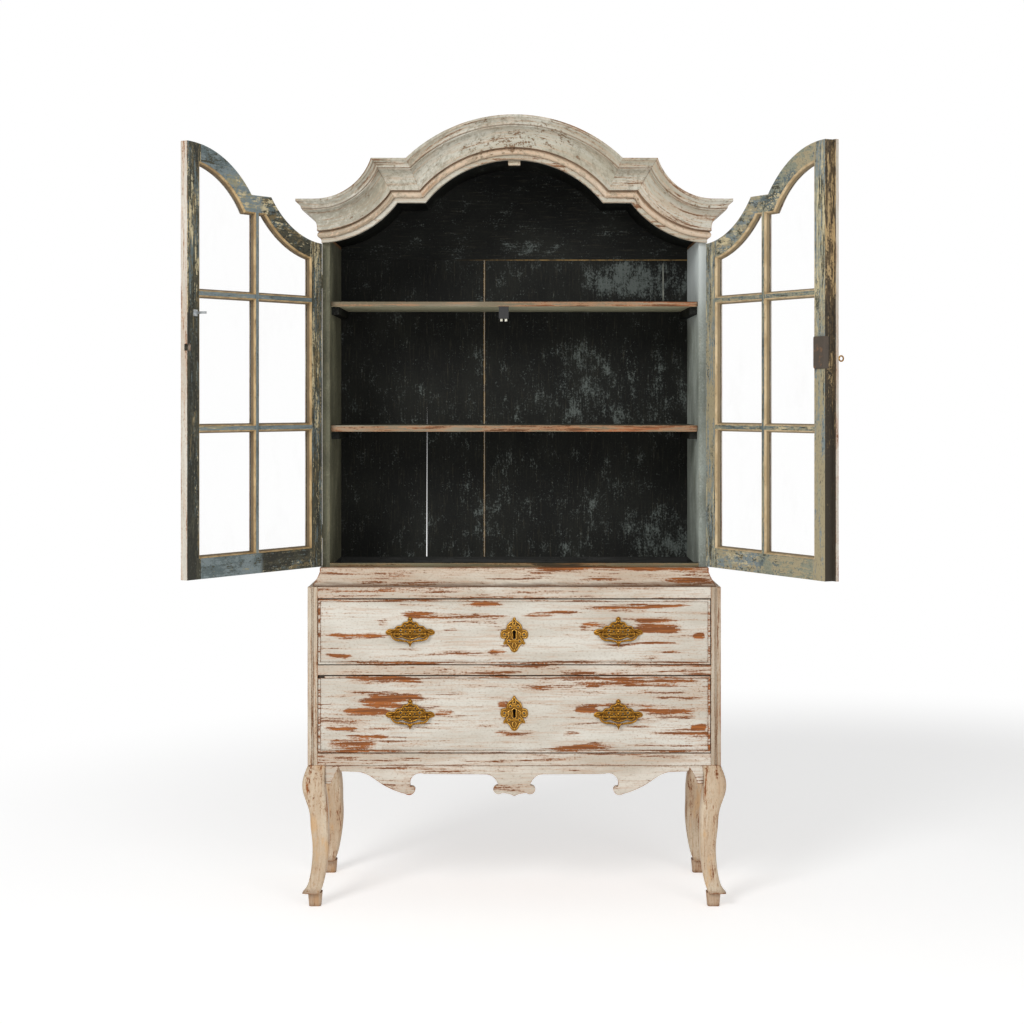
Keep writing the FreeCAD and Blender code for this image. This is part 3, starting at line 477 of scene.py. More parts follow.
handle_beads = [
    (0, 36, 2.5, 3.4), (0, 29, 2.5, 2.6), (0, 20, 3.0, 2.6), (0, 3, 3.0, 3.4), (0, -12, 3.0, 2.6),
]
handle_mesh = casting("handle_plate", handle_outline, both_halves(handle_eyes), both_halves(handle_chasing),
                      handle_beads, 0.75)

shield_outline = [
    (0, 46), (6, 37), (12, 32), (19, 23), (22, 14), (31, 12), (36, 2), (33, -9), (24, -11), (28, -25),
    (20, -25), (13, -31), (8, -41), (0, -46),
]
keyhole = [(0, 11, 0, 1), (3.4, 7.6, 0, 1), (2.6, 2, 0, 1), (2.4, -6, 0, 1), (3.2, -11, 0, 1)]
keyhole = (keyhole + [(-u, w, h, thick) for u, w, h, thick in keyhole[:0:-1]], True)
shield_eyes = [ring(10, 19, 2.8, 1), ring(26, 1, 3.0, 1), ring(14, -17, 2.8, 1)]
shield_chasing = [
    ring(10, 19, 4.6, 1.5), ring(26, 1, 5.0, 1.7), ring(14, -17, 4.6, 1.4),
    rib((0, 14, 3.2, 1.3), (6, 9, 3.4, 1.6), (5, 1, 3.2, 1.3), (6, -8, 3.4, 1.6), (0, -14.5, 3.0, 1.2)),
    rib((1, 42, 2.4, 1.2), (6, 34, 3.0, 1.9), (13, 29, 3.0, 1.6), (18, 21, 3.0, 1.8), (17, 14, 2.8, 1.2)),
    rib((22, 11, 2.6, 1.2), (31, 9, 3.0, 1.8), (33, 0, 3.0, 1.6), (29, -8, 2.8, 1.8), (21, -6, 2.8, 1.2)),
    rib((10, 8, 2.8, 1.0), (16, 4, 3.4, 2.0), (15, -5, 3.2, 1.6), (20, -12, 3.0, 1.6), (25, -23, 2.4, 1.0)),
    rib((20, -22, 2.4, 1.0), (13, -28, 3.0, 1.7), (8, -36, 2.8, 1.5), (1, -43, 2.4, 1.0)),
    rib((2, 34, 2.8, 1.3), (4, 27, 3.4, 1.7), (2, 20, 3.0, 1.1)),
    rib((3, -22, 3.0, 1.2), (5, -28, 3.2, 1.7), (2, -35, 2.8, 1.1)),
]
shield_beads = [(0, 41, 2.4, 3.0), (0, 25, 2.8, 2.4), (0, -20, 2.8, 2.2), (0, -40, 2.4, 2.6)]
shield_mesh = casting("keyhole_plate", shield_outline, both_halves(shield_eyes) + [keyhole],
                      both_halves(shield_chasing), shield_beads, 0.75)

bail_lines = [
    rib((37, 0, 0, 1.9), (44, 0, 0, 1.9), (48, -1, 0, 2.4), (46.5, -8, 0, 2.3), (38, -15, 0, 2.5),
        (24, -17, 0, 3.1), (12, -19, 0, 2.4), (0, -21, 0, 2.6)),
    ring(0, -23, 4.4, 1.1, 0.0),
    rib((9, -17.5, 1.4, 1.0), (5, -20, 2.8, 1.7), (1, -24, 3.4, 1.2)),
    rib((0, -24, 0, 4.0), (0, -28, 0, 3.2), (0, -31, 0, 2.0), (0, -34.5, 0, 0.9)),
]
bail_beads = [
    (0, -22, 0, 4.4), (30, -16.6, 0, 3.3), (-30, -16.6, 0, 3.3), (14, -18.6, 0, 3.0), (-14, -18.6, 0, 3.0),
]
bail_mesh = casting("bail", None, [], both_halves(bail_lines), bail_beads, 0.6)


def old_brass(name, dull, bright):
    """Cast brass rubbed bright on its ridges, with dirt in the hollows."""
    finish = Finish(name)
    mottling = finish.noise(160, 160, 3, seed=4) - 0.5
    ridges = finish.ramp(finish.node("ShaderNodeNewGeometry", output="Pointiness"), 0.47, 0.56)
    rubbed = finish.ramp(finish.noise(110, 110, 4, 0.7) * 0.6 + ridges * 0.5, 0.42, 0.80)
    dirt = finish.ramp(finish.hollow(0.005) * 0.7 - ridges * 0.5 + mottling * 0.6, -0.15, 0.30)
    colour = finish.mix(dirt * 0.92, finish.mix(rubbed, dull, bright), tint(40, 30, 11))
    finish.feed(Base_Color=colour, Metallic=1 - dirt * 0.7, Roughness=dirt * 0.35 - rubbed * 0.12 + 0.42)
    finish.relief(finish.noise(420, 420, 3, 0.7, seed=8), 0.0004, 0.5)
    return finish


brass_finish = old_brass("old_brass", tint(134, 92, 30), tint(214, 164, 78))
handle_finish = old_brass("dull_brass", tint(112, 74, 22), tint(190, 140, 58))


def hang_brass(name, mesh, place, body, node):
    """Hangs one casting on its body, where it stands for a plainer piece of the frame."""
    piece = bpy.data.objects.new(name, mesh)
    bpy.context.scene.collection.objects.link(piece)
    piece.location = place
    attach(piece, body)
    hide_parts(node)


shield_mesh.materials.append(brass_finish.material)
for mesh in (handle_mesh, bail_mesh):
    mesh.materials.append(handle_finish.material)
joints = {joint["name"]: joint for joint in frame["joints"]}
shield_half_height = 0.046
eyes_below_middle = 0.003
for level in ("upper", "lower"):
    drawer = level + "_drawer"
    plates = drawer + "_plates"
    low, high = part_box(plates)
    drawer_face = high[1]
    keyhole_place = (0, drawer_face, low[2] + shield_half_height)
    hang_brass(level + "_keyhole_plate", shield_mesh, keyhole_place, drawer, plates)
    for side in ("left", "right"):
        handle = level + "_" + side
        bail = handle + "_bail"
        x, y, z = joints[bail + "_swing"]["pos_m"]
        plate_place = (x, drawer_face, z + eyes_below_middle)
        hang_brass(handle + "_handle_plate", handle_mesh, plate_place, drawer, plates)
        hang_brass(bail + "_casting", bail_mesh, (x, y, z), bail, bail)


# Drawer locks
# Iron box locks let into the back of each drawer front, behind the keyhole plate.
# Forged and filed, brown with old rust.
def forged_iron(finish, dark, rust, share):
    """Scaled black iron with rust blooming through; gives colour and height."""
    scale = finish.noise(60, 60, 5, 0.65)
    bloom = finish.ramp(finish.noise(34, 34, 6, 0.7, seed=5), share, share + 0.14)
    return finish.mix(bloom, finish.mix(scale, dark, tint(84, 76, 68)), rust), scale * 0.7 + bloom * 0.3


iron_finish = Finish("rusty_iron")
iron_rough = (0.5, 0.8)
iron_finish.lay(*forged_iron(iron_finish, tint(48, 43, 38), tint(118, 78, 52), 0.56), 0.0006, iron_rough)
iron_finish.feed(Metallic=0.35)
dress(iron_finish, "upper_drawer_lock", "lower_drawer_lock")


# Waist moulding
# A run of moulded pine, mitred round the front and sides and nailed to the chest to hold the glazed case.
# Painted as the chest is, but rubbed by hands at the doors, so red-brown lines follow its members.
# The rail across its back was never painted, and the part inside the case is black.
waist_finish = Finish("worn_waist_paint", "X")
whole_place = waist_finish.place
waist_finish.set_place(waist_finish.join(waist_finish.x + waist_finish.y, 0.0, waist_finish.z))
waist_coat = (tint(212, 202, 186), tint(187, 170, 149))
waist_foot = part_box("waist_moulding")[0][2]
uneven_z = waist_finish.z + (waist_finish.noise(9, 60, 5, 0.7, seed=35) - 0.5) * 0.03
# Dirt and painted shade: the foot of the moulding is painted dark brown under its overhang.
foot_dirt_and_shade = waist_finish.ramp(uneven_z, waist_foot + 0.015, waist_foot + 0.003)
neck = waist_finish.ramp(uneven_z, waist_foot + 0.037, waist_foot + 0.045) * 0.05
waist_colour, waist_height = old_paint(waist_finish, waist_coat, pink_thin, red_pine, 0.555, 1.2, neck)
waist_colour = waist_finish.mix(foot_dirt_and_shade * 0.7, waist_colour, tint(92, 66, 44))
waist_finish.set_place(whole_place)
case_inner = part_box("case_floor")[1][0]
case_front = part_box("case_sides")[0][1]
within = waist_finish.ramp(abs(waist_finish.x), case_inner + 0.0015, case_inner + 0.0005)
within = within & waist_finish.ramp(waist_finish.y, case_front - 0.003, case_front - 0.002)
waist_colour = waist_finish.mix(within, waist_colour, tint(26, 27, 24))
rear = waist_finish.ramp(waist_finish.facing_y, 0.4, 0.6) & waist_finish.ramp(waist_finish.y, 0.19, 0.2)
rear_pine = (tint(158, 120, 82), tint(108, 76, 50))
pine_colour, _ = bare_pine(waist_finish, rear_pine)
waist_finish.lay(waist_finish.mix(rear, waist_colour, pine_colour), waist_height, 0.0009)
dress(waist_finish, "waist_moulding")


# Glazed case: sides, floor, back boards, shelves and door stop
# Pine boards housed into each other. The back is four upright boards and one across the top, shrunk apart.
# Painted near black inside, now chalky and smudged; the sides went grey, and outside they are white.
# The back, the rear edges and what stands above the roof were left as bare pine.
def smoked_paint(finish, dark, chalk, limit, more=0.0):
    """Flat black paint with chalky smudges, scratches and specks; gives colour and height."""
    clouds = finish.noise(5, 7, 5, 0.62, seed=1)
    smears = finish.noise(16, 26, 7, 0.78, seed=3)
    strokes = finish.noise(14, 210, 4, 0.72, seed=9)
    grains = finish.noise(170, 200, 3, 0.8, seed=7)
    chalky = smears * 1.3 - 0.15 + (clouds - 0.5) * 0.6
    chalky = chalky + (strokes - 0.5) * 0.45 + (grains - 0.5) * 0.8 + more
    rubbed = finish.ramp(chalky, limit, limit + 0.22)
    specks = finish.ramp(grains + (smears - 0.5) * 0.6 + more * 0.4, 0.62, 0.70)
    paint = finish.mix(finish.ramp(clouds + (grains - 0.5) * 0.5, 0.35, 0.68), dark[0], dark[1])
    paint = finish.mix(finish.ramp(strokes, 0.54, 0.64) * 0.6, paint, dark[2])
    finish.feed(Specular_IOR_Level=0.2)
    height = grains * 0.4 + strokes * 0.4 - rubbed * 0.1
    return finish.mix(rubbed * 0.7 | specks * 0.6, paint, chalk), height


smoked_dark = (tint(16, 17, 15), tint(32, 33, 29), tint(54, 51, 41))
smoked_rough = (0.55, 0.8)
left_seam = -0.2452
middle_seam = -0.0842
right_seam = 0.191
cross_seam = 1.7178
split_x = 0.419
split_z = 1.655
back_finish = Finish("smoked_back_boards", "Z")
x, z = back_finish.x, back_finish.z
broken = back_finish.ramp(back_finish.noise(24, 60, 3, 0.7, seed=31), 0.38, 0.58)
sway = (back_finish.noise(7, 7, 2, seed=33) - 0.5) * 0.004
seam = back_finish.ramp(abs(x - middle_seam + sway * 0.3), 0.0026, 0.0012)
seam = seam & back_finish.ramp(z, cross_seam + 0.0042, cross_seam - 0.0018)
cross = back_finish.ramp(abs(z - cross_seam), 0.0022, 0.0012) * back_finish.ramp(x, -0.2, 0.1)
split = back_finish.ramp(abs(x - split_x + sway), 0.0022, 0.001)
split = split & back_finish.ramp(abs(z - split_z), 0.056, 0.048)
# A smudge is its middle, across and up, its half width, its half height and its strength.
smudges = [
    (0.28, 1.35, 0.36, 0.17, 0.10), (0.36, 1.66, 0.22, 0.07, 0.24),
    (0.44, 0.93, 0.20, 0.12, 0.14), (0.10, 1.02, 0.40, 0.20, 0.05),
]
lighter = sum(back_finish.spot(*place) * strength for *place, strength in smudges)
outside = back_finish.ramp(back_finish.facing_y, 0.4, 0.6)
pine_colour, _ = bare_pine(back_finish, rear_pine)
above = back_finish.ramp(z, cross_seam - 0.0003, cross_seam + 0.0003)
darker_boards = back_finish.ramp(x, middle_seam + 0.0004, middle_seam - 0.0004)
darker_boards = darker_boards * back_finish.ramp(x, left_seam - 0.0004, left_seam + 0.0004)
darker_boards = darker_boards + back_finish.ramp(x, right_seam - 0.0005, right_seam + 0.0005)
darker_boards = darker_boards * (1 - above) + above * 0.5
pine_colour = back_finish.mix(darker_boards * 0.4, pine_colour, tint(98, 68, 44))
back_finish.set_place(back_finish.join(x + above * (z - x), 0.0, z + above * (x - z)))
back_colour, back_height = smoked_paint(back_finish, smoked_dark, tint(116, 124, 120), 0.60, lighter)
back_colour = back_finish.mix((seam | cross) * (broken * 0.6 + 0.3), back_colour, tint(158, 128, 78))
back_colour = back_finish.mix(split * (broken * 0.5 + 0.4), back_colour, tint(170, 172, 160))
back_finish.lay(back_finish.mix(outside, back_colour, pine_colour), back_height, 0.0006, smoked_rough)
dress(back_finish, "back_boards")

floor_board_finish = Finish("smoked_floor_board", "X")
board_colour, board_height = smoked_paint(floor_board_finish, smoked_dark, tint(92, 98, 88), 0.64)
sill_coat = (tint(132, 126, 100), tint(96, 92, 70))
sill_bare = (tint(150, 108, 66), tint(60, 54, 38))
sill_colour, _ = old_paint(floor_board_finish, sill_coat, tint(158, 130, 92), sill_bare, 0.58, 0.5)
front = floor_board_finish.ramp(floor_board_finish.facing_y, -0.4, -0.6)
board_colour = floor_board_finish.mix(front, board_colour, sill_colour)
floor_board_finish.lay(board_colour, board_height, 0.0006, smoked_rough)
dress(floor_board_finish, "case_floor")

# The cleats take the black inside paint, kept dark so that they pass for painted shade under the shelves.
cleat_finish = Finish("smoked_cleats_as_shade", "Y")
cleat_finish.lay(*smoked_paint(cleat_finish, smoked_dark, tint(92, 96, 88), 0.64), 0.0006, smoked_rough)
dress(cleat_finish, "shelf_cleats")

side_finish = Finish("case_side_paint", "Z")
outer_colour, side_height = old_paint(side_finish, white_coat, pink_thin, red_pine, 0.63, 0.8)
right_side = side_finish.ramp(side_finish.x, -0.1, 0.1)
# Lit and shaded copies of the grey inside paint: painted shade on the left side, painted light on the
# right.
grey_shaded = (tint(86, 85, 70), tint(126, 125, 104), tint(150, 140, 112))
grey_lit = (tint(128, 134, 126), tint(182, 190, 182), tint(150, 144, 124))
shaded_left_colour, _ = smoked_paint(side_finish, grey_shaded, tint(168, 164, 138), 0.60)
lit_right_colour, _ = smoked_paint(side_finish, grey_lit, tint(208, 214, 206), 0.58)
# Painted light: the right side turns near white towards the top.
painted_light_top = side_finish.ramp(side_finish.z, 1.45, 1.70)
lit_right_colour = side_finish.mix(painted_light_top * 0.9, lit_right_colour, tint(242, 250, 248))
inner_colour = side_finish.mix(right_side, shaded_left_colour, lit_right_colour)
edge_share = side_finish.ramp(side_finish.facing_y, -0.4, -0.6) * 0.4
inner_colour = side_finish.mix(edge_share, inner_colour, tint(60, 60, 46))
outward = side_finish.ramp(side_finish.facing_x * side_finish.x, 0.05, 0.15)
side_colour = side_finish.mix(outward, inner_colour, outer_colour)
unpainted = side_finish.ramp(side_finish.facing_y, 0.4, 0.6)
roof_level = 1.744
above_roof = side_finish.ramp(side_finish.z, roof_level, roof_level + 0.004)
unpainted = unpainted | above_roof * (1 - outward)
pine_colour, _ = bare_pine(side_finish, rear_pine)
side_finish.lay(side_finish.mix(unpainted, side_colour, pine_colour), side_height, 0.0007)
dress(side_finish, "case_sides")
soften(0.0004, "case_sides")

shelf_finish = Finish("shelf_paint", "X")
shelf_dark = (tint(58, 57, 48), tint(84, 82, 68), tint(96, 84, 64))
under_dark = (tint(168, 165, 138), tint(196, 192, 162), tint(160, 146, 112))
shelf_colour, shelf_height = smoked_paint(shelf_finish, shelf_dark, tint(118, 116, 100), 0.60)
under_colour, _ = smoked_paint(shelf_finish, under_dark, tint(190, 186, 164), 0.60)
below = shelf_finish.ramp(shelf_finish.facing_z, -0.3, -0.6)
shelf_colour = shelf_finish.mix(below, shelf_colour, under_colour)
edge_coat = (tint(146, 138, 120), tint(112, 102, 82))
edge_bare = (tint(168, 106, 70), tint(96, 66, 44))
handled = shelf_finish.ramp(shelf_finish.x, -0.3, 0.45) * 0.12
edge_colour, _ = old_paint(shelf_finish, edge_coat, tint(172, 128, 94), edge_bare, 0.61, 0.3, handled)
front = shelf_finish.ramp(shelf_finish.facing_y, -0.4, -0.6)
shelf_finish.lay(shelf_finish.mix(front, shelf_colour, edge_colour), shelf_height, 0.0006)
dress(shelf_finish, "shelves")
soften(0.0015, "shelves")

stop_finish = Finish("door_stop_paint", "X")
stop_coat = (tint(222, 214, 194), tint(196, 182, 156))
stop_finish.lay(*old_paint(stop_finish, stop_coat, tan_thin, red_pine, 0.66), 0.0006)
dress(stop_finish, "door_stop")


# Cornice, header and roof
# The header board is sawn to a double curve, and a cove moulding follows it: an arch, two steps, two wings.
# It returns along the sides, and narrow staves bent over the shape close the top.
# Grey-white paint, worn to pinkish wood on every arris; the roof's outside was never painted.
cornice_coat = (tint(196, 193, 180), tint(166, 160, 142))
cornice_thin = tint(184, 158, 132)
cornice_bare = (tint(156, 112, 78), tint(112, 78, 52))


def follow_curve(finish, centre_x, centre_z):
    """Lays the grain along a round of the cornice instead of straight across; gives the round's radius."""
    across = abs(finish.x) - centre_x
    up = finish.z - centre_z
    radius = (across * across + up * up) ** 0.5
    finish.set_place(finish.join(finish.x, finish.y, radius))
    return radius


def cornice_paint(finish, rise, more=0.0, painted_shade=0.0):
    """Gritty paint of the moulding; rise is the height over its foot, from the bead up to the crown."""
    bead_quirk = 0.0295
    crown_quirk = 0.0855
    bead = finish.ramp(rise, bead_quirk + 0.0035, bead_quirk - 0.0005)
    crown = finish.ramp(rise, crown_quirk - 0.0015, crown_quirk + 0.0045)
    mottle = finish.noise(34, 42, 6, 0.78, seed=41)
    grains = finish.noise(110, 130, 3, 0.75, seed=43) - 0.5
    rubbed = (bead | crown) * 0.03
    colour, height = old_paint(finish, cornice_coat, cornice_thin, cornice_bare, 0.645, 0.35, rubbed)
    # Grime with painted shade: the last argument adds grey where it is above 0 and takes it away where it
    # is below.
    grime_and_shade = finish.ramp(mottle + grains * 0.8 + painted_shade, 0.46, 0.60)
    chips = finish.ramp(mottle + grains * 0.7 + more, 0.645, 0.675)
    quirks = finish.ramp(abs(rise - bead_quirk), 0.0024, 0.0012)
    quirks = quirks | finish.ramp(abs(rise - crown_quirk), 0.0024, 0.0012)
    # The bead is painted a lighter pink: its worn colour, and painted light against the shade of the cove
    # above.
    colour = finish.mix(bead * 0.5, colour, tint(214, 180, 148))
    colour = finish.mix(grime_and_shade * 0.5, colour, tint(124, 118, 100))
    colour = finish.mix(quirks * (mottle * 0.7) | chips * 0.85, colour, tint(112, 80, 50))
    finish.lay(colour, height - chips * 0.3, 0.0009)


arch_centre_z = 1.6586
arch_radius = 0.298
arch_finish = Finish("cornice_arch_paint", "X")
chips = (arch_finish.spot(0.08, 2.01, 0.16, 0.05) + arch_finish.spot(-0.05, 1.985, 0.10, 0.04)) * 0.09
cornice_paint(arch_finish, follow_curve(arch_finish, 0.0, arch_centre_z) - arch_radius, chips)
dress(arch_finish, "cornice_arch")

wing_centre_x = 0.520
wing_centre_z = 2.0025
wing_radius = 0.265
wing_finish = Finish("cornice_wing_paint", "X")
# Painted shade on the left wing and painted light on the right, as more or less grey grime.
painted_shade = wing_finish.ramp(wing_finish.x, 0.1, -0.1) * 0.15 - 0.07
cornice_paint(wing_finish, wing_radius - follow_curve(wing_finish, wing_centre_x, wing_centre_z), painted_shade=painted_shade)
dress(wing_finish, "cornice_wings")

bead_rise = 0.012
for part, grain in (("step", "X"), ("return", "Y")):
    straight = "cornice_" + part + "s"
    straight_finish = Finish("cornice_" + part + "_paint", grain)
    cornice_paint(straight_finish, straight_finish.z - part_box(straight)[0][2] + bead_rise)
    dress(straight_finish, straight)

header_finish = Finish("header_paint", "X")
header_colour, header_height = old_paint(
    header_finish, cornice_coat, cornice_thin, cornice_bare, 0.645, 0.8)
behind = header_finish.ramp(header_finish.facing_y, 0.3, 0.6)
grey_pine = (tint(150, 122, 92), tint(104, 80, 58))
pine_colour, _ = bare_pine(header_finish, grey_pine)
header_finish.lay(header_finish.mix(behind, header_colour, pine_colour), header_height, 0.0007)
dress(header_finish, "arch_header")

roof_finish = Finish("roof_staves", "Y")
roof_colour, roof_height = smoked_paint(roof_finish, smoked_dark, tint(92, 96, 88), 0.60)
pine_colour, _ = bare_pine(roof_finish, grey_pine)
outer = roof_finish.ramp(roof_finish.facing_z, 0.2, 0.4) | roof_finish.ramp(roof_finish.facing_y, 0.4, 0.6)
roof_finish.lay(roof_finish.mix(outer, roof_colour, pine_colour), roof_height, 0.0007, board_rough)
dress(roof_finish, "roof_boards")


# Doors
# Two pegged frames with curved top rails, two stiles and slim glazing bars, rebated inside for the panes.
# White outside. Inside, coats of slate, green-black and cream flake off each other, most on the right door.
class DoorFinish(Finish):
    """A finish whose place and facing are turned back to the closed door, so that +Y is the inside."""

    def __init__(self, name, grain, door):
        super().__init__(name, grain)
        hinge = joints[door + "_hinge"]
        hinge_x, hinge_y, _ = hinge["pos_m"]
        angle = math.radians(hinge["range_deg"][0] * hinge["axis"][2])
        turn = {"rotation_type": "Z_AXIS"}
        closed = {"Vector": self.place, "Center": (hinge_x, hinge_y, 0.0), "Angle": angle}
        self.set_place(self.node("ShaderNodeVectorRotate", turn, closed))
        self.set_facing(self.node("ShaderNodeVectorRotate", turn, {"Vector": self.facing, "Angle": angle}))


def flaking_paint(finish, coats, along=12, across=100):
    """Coats one over another, each left where its own noise passes its limit; gives colour and height."""
    drifts = (finish.noise(2, 8, 3, seed=50) - 0.5) * 0.7
    fibres = finish.noise(10, 240, 3, 0.7, seed=9)
    grit = finish.noise(150, 240, 3, 0.75, seed=13)
    colour, height = coats[0][0], fibres * 0.4
    for step, (coat, limit) in enumerate(coats[1:]):
        flakes = finish.noise(along, across, 6, 0.74, seed=20 + step * 7) + drifts
        flakes = flakes + (fibres - 0.5) * 0.4 + (grit - 0.5) * 0.5
        left = finish.ramp(flakes, limit, limit + 0.025)
        colour = finish.mix(left, colour, coat)
        height = height + left * 0.2
    return finish.mix(finish.ramp(grit, 0.50, 0.66) * 0.4, colour, tint(56, 53, 42)), height


slate, slate_dark = tint(122, 134, 136), tint(94, 107, 108)
green_black, green_dark = tint(64, 63, 49), tint(38, 38, 30)
cream, straw = tint(206, 192, 154), tint(162, 150, 120)
olive, sage = tint(112, 98, 68), tint(150, 146, 120)
pale_sage, grey_sage = tint(150, 150, 130), tint(136, 138, 120)
door_looks = {
    "left": {
        "stile": [(green_dark, 0), (green_black, 0.45), (slate_dark, 0.57), (olive, 0.59), (cream, 0.63)],
        "rail": [(green_black, 0), (slate_dark, 0.36), (slate, 0.46), (sage, 0.62), (cream, 0.66)],
        "putty": (tint(190, 162, 116), tint(150, 122, 80), tint(84, 68, 45)),
    },
    "right": {
        "stile": [(straw, 0), (slate, 0.50), (pale_sage, 0.56), (green_black, 0.585), (cream, 0.61)],
        "rail": [(straw, 0), (grey_sage, 0.40), (slate_dark, 0.50), (green_black, 0.57), (cream, 0.61)],
        "putty": (tint(212, 188, 148), tint(178, 152, 112), tint(112, 96, 68)),
    },
}
lip_shadow_and_grime = [(tint(46, 38, 26), 0), (tint(84, 68, 45), 0.54), (tint(182, 156, 112), 0.62)]
right_lip_x = -0.0053
bar_x = 0.2537
bar_half_width = 0.0115
door_parts = [
    ("stiles", "Z", ["hinge_stile", "meeting_stile"]),
    ("rails", "X", ["top_rail", "bottom_rail"]),
    ("bars", "Z", ["glazing_bars"]),
]
for side, looks in door_looks.items():
    door = side + "_door"
    for part, grain, names in door_parts:
        finish = DoorFinish(door + "_" + part, grain, door)
        if part == "bars":
            lying = finish.ramp(abs(abs(finish.x) - bar_x), bar_half_width, bar_half_width + 0.0005)
            x, y, z = finish.x, finish.y, finish.z
            finish.set_place(finish.join(x + lying * (z - x), y, z + lying * (x - z)))
        outer_colour, outer_height = old_paint(finish, white_coat, pink_thin, red_pine, 0.62, 0.8)
        if part == "rails":
            inner_colour, inner_height = flaking_paint(finish, looks["rail"], 30, 48)
            hinge_half = finish.ramp(abs(finish.x), 0.26, 0.28)
            hinge_colour, _ = flaking_paint(finish, looks["stile"], 30, 60)
            inner_colour = finish.mix(hinge_half, inner_colour, hinge_colour)
        else:
            coats = looks["stile"] if part == "stiles" else looks["rail"]
            inner_colour, inner_height = flaking_paint(finish, coats)
        if door == "right_door" and part == "stiles":
            # Painted shadow with grime: the right door's meeting edge and the inside of its lip are painted
            # dark brown.
            meeting = finish.ramp(abs(finish.x - right_lip_x), 0.0068, 0.0062)
            meeting = meeting & finish.ramp(finish.facing_y, -0.5, -0.2)
            shadow_and_grime_colour, _ = flaking_paint(finish, lip_shadow_and_grime, 20, 130)
            outer_colour = finish.mix(meeting, outer_colour, shadow_and_grime_colour)
            inner_colour = finish.mix(meeting, inner_colour, shadow_and_grime_colour)
        inside = finish.ramp(finish.facing_y, 0.3, 0.6)
        door_colour = finish.mix(inside, outer_colour, inner_colour)
        finish.lay(door_colour, outer_height * 0.5 + inner_height * 0.5, 0.0008)
        dress(finish, *[door + "_" + name for name in names])
    soften(0.0004, door + "_hinge_stile")
    soften(0.001, door + "_meeting_stile", door + "_bottom_rail")


# Panes and putty
# Thin crown glass, two columns of three lights in each door, bedded in the rebates and held by putty.
# The glass is clear with a trace of dust; the linseed putty has gone hard, tan and crazed.
for side, looks in door_looks.items():
    fresh, old, dirt_and_shade = looks["putty"]
    putty_finish = DoorFinish(side + "_linseed_putty", "Z", side + "_door")
    age = putty_finish.ramp(putty_finish.noise(14, 40, 5, 0.7), 0.38, 0.62)
    crazing = putty_finish.ramp(putty_finish.noise(60, 160, 4, 0.7, seed=3), 0.55, 0.66)
    # Painted shade: the putty turns dark where it runs down to the glass; its crazing takes the same dark
    # colour as dirt.
    deep = putty_finish.ramp(putty_finish.y, -0.1590, -0.1625)
    putty_colour = putty_finish.mix(crazing * 0.6 | deep * 0.85, putty_finish.mix(age, fresh, old), dirt_and_shade)
    putty_finish.lay(putty_colour, 1 - crazing * 0.7, 0.0006)
    dress(putty_finish, side + "_door_putty")

glass_finish = Finish("old_pane_glass", "Z")
dust = glass_finish.ramp(glass_finish.noise(5, 9, 5, 0.65), 0.48, 0.75)
glass_finish.feed(Base_Color=glass_finish.mix(dust, tint(240, 245, 243), tint(222, 220, 210)))
glass_finish.feed(Roughness=dust * 0.2 + 0.03, Alpha=dust * 0.025 + 0.015)
glass_finish.relief(glass_finish.noise(4, 14, 2, 0.5, seed=2), 0.002, 0.2)
dress(glass_finish, "left_door_panes", "right_door_panes")


# Hinges, door lock and catch
# Iron pintles and leaves, an iron box lock with its brass key on the right door, and a later roller catch.
# The catch, screwed under the upper shelf, is black plastic with two nylon rollers that grip a zinc strike.
dress(iron_finish, "hinge_pintles", "left_door_hinge_leaves", "right_door_hinge_leaves")
lock_finish = Finish("lock_iron", "Z")
lock_finish.lay(*forged_iron(lock_finish, tint(84, 74, 64), tint(132, 98, 72), 0.50), 0.0008, iron_rough)
lock_finish.feed(Metallic=0.25)
dress(lock_finish, "right_door_lock_case", "right_door_lock_bolt")
dress(brass_finish, "right_door_lock_key")


def moulded(name, first, second, rough):
    """A small machine-made piece: even colour with faint handling marks."""
    finish = Finish(name)
    marks = finish.noise(140, 140, 4, 0.6)
    finish.lay(finish.mix(finish.ramp(marks, 0.4, 0.65), first, second), marks, 0.0002, rough)
    return finish


catch_finish = moulded("black_catch_plastic", tint(10, 10, 10), tint(20, 19, 18), (0.35, 0.55))
dress(catch_finish, "roller_catch")
roller_finish = moulded("nylon_rollers", tint(232, 230, 216), tint(206, 202, 184), (0.4, 0.55))
dress(roller_finish, "catch_roller_left", "catch_roller_right")
strike_finish = moulded("zinc_strike", tint(206, 210, 212), tint(168, 172, 174), (0.25, 0.4))
strike_finish.feed(Metallic=0.9)
dress(strike_finish, "left_door_strike")


# Floor, light and camera
# A white floor that runs out into a white background, a soft lamp high on the left and a weaker one right.
# The camera stands where the photographer's did: level, at chest height, five and a half metres away.
floor_finish = Finish("studio_floor")
scuffs = floor_finish.mix(floor_finish.noise(3, 3), tint(240, 240, 239), tint(236, 236, 236))
floor_finish.feed(Base_Color=scuffs, Roughness=0.8, Emission_Color=(1, 1, 1, 1), Emission_Strength=0.46)
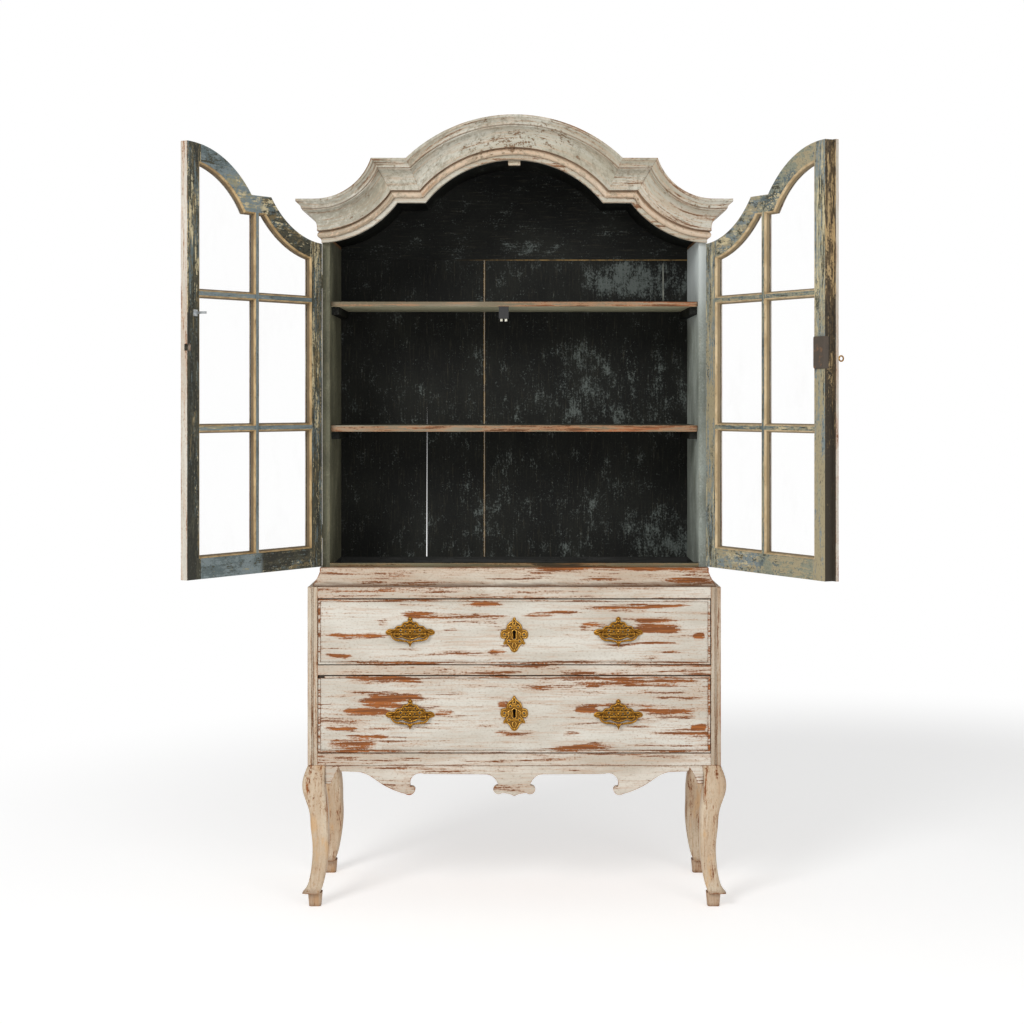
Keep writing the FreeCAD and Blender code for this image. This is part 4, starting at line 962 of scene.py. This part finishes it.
# Round this middle the floor takes shadows, and farther out it glows plain white.
shadow_x = 0.9
shadow_y = 0.7
right = floor_finish.x - shadow_x
back = floor_finish.y - shadow_y
away = floor_finish.ramp((right * right + back * back) ** 0.5, 1.5, 3.2) * floor_finish.seen()
lit = Value(floor_finish, floor_finish.shader.outputs[0])
glow = floor_finish.node("ShaderNodeEmission", {}, {"Color": (1, 1, 1, 1), "Strength": 1.0})
blend = floor_finish.node("ShaderNodeMixShader", {}, {0: away, 1: lit, 2: glow})
floor_finish.put(floor_finish.tree.nodes["Material Output"].inputs["Surface"], blend)
floor_mesh = bpy.data.meshes.new("floor")
reach = 30.0
corners = [(-reach, -reach, 0), (reach, -reach, 0), (reach, reach, 0), (-reach, reach, 0)]
floor_mesh.from_pydata(corners, [], [(0, 1, 2, 3)])
floor_mesh.materials.append(floor_finish.material)
floor = bpy.data.objects.new("floor", floor_mesh)
bpy.context.scene.collection.objects.link(floor)

world = bpy.data.worlds.new("studio")
bpy.context.scene.world = world
world.use_nodes = True
sky = Shading(world.node_tree)
plain = sky.node("ShaderNodeBackground", {}, {"Color": (1, 1, 1, 1), "Strength": 0.30})
bright = sky.node("ShaderNodeBackground", {}, {"Color": (1, 1, 1, 1), "Strength": 1.0})
choose = sky.node("ShaderNodeMixShader", {}, {0: sky.seen(), 1: plain, 2: bright})
sky.put(sky.tree.nodes["World Output"].inputs["Surface"], choose)


def lamp(name, place, target, size, power):
    """A round soft lamp that faces its target; size is across in metres and power is in watts."""
    light = bpy.data.lights.new(name, "AREA")
    light.shape = "DISK"
    light.size = size
    light.energy = power
    holder = bpy.data.objects.new(name, light)
    bpy.context.scene.collection.objects.link(holder)
    holder.location = place
    holder.rotation_euler = (Vector(target) - Vector(place)).to_track_quat("-Z", "Y").to_euler()


lamp("key_lamp", (-2.6, -4.9, 3.7), (0.0, 0.0, 0.9), 2.2, 165)
lamp("fill_lamp", (2.6, -5.0, 2.6), (0.0, 0.0, 1.0), 3.0, 62)

camera = bpy.data.objects.new("camera", bpy.data.cameras.new("camera"))
bpy.context.scene.collection.objects.link(camera)
camera.location = (0.0, -5.491, 1.323)
camera.rotation_euler = (math.radians(90), 0, 0)
camera.data.sensor_width = 36.0
camera.data.lens = 71.05
camera.data.shift_x = -0.0022
camera.data.shift_y = -0.109
bpy.context.scene.camera = camera
bpy.context.scene.view_settings.view_transform = "Standard"
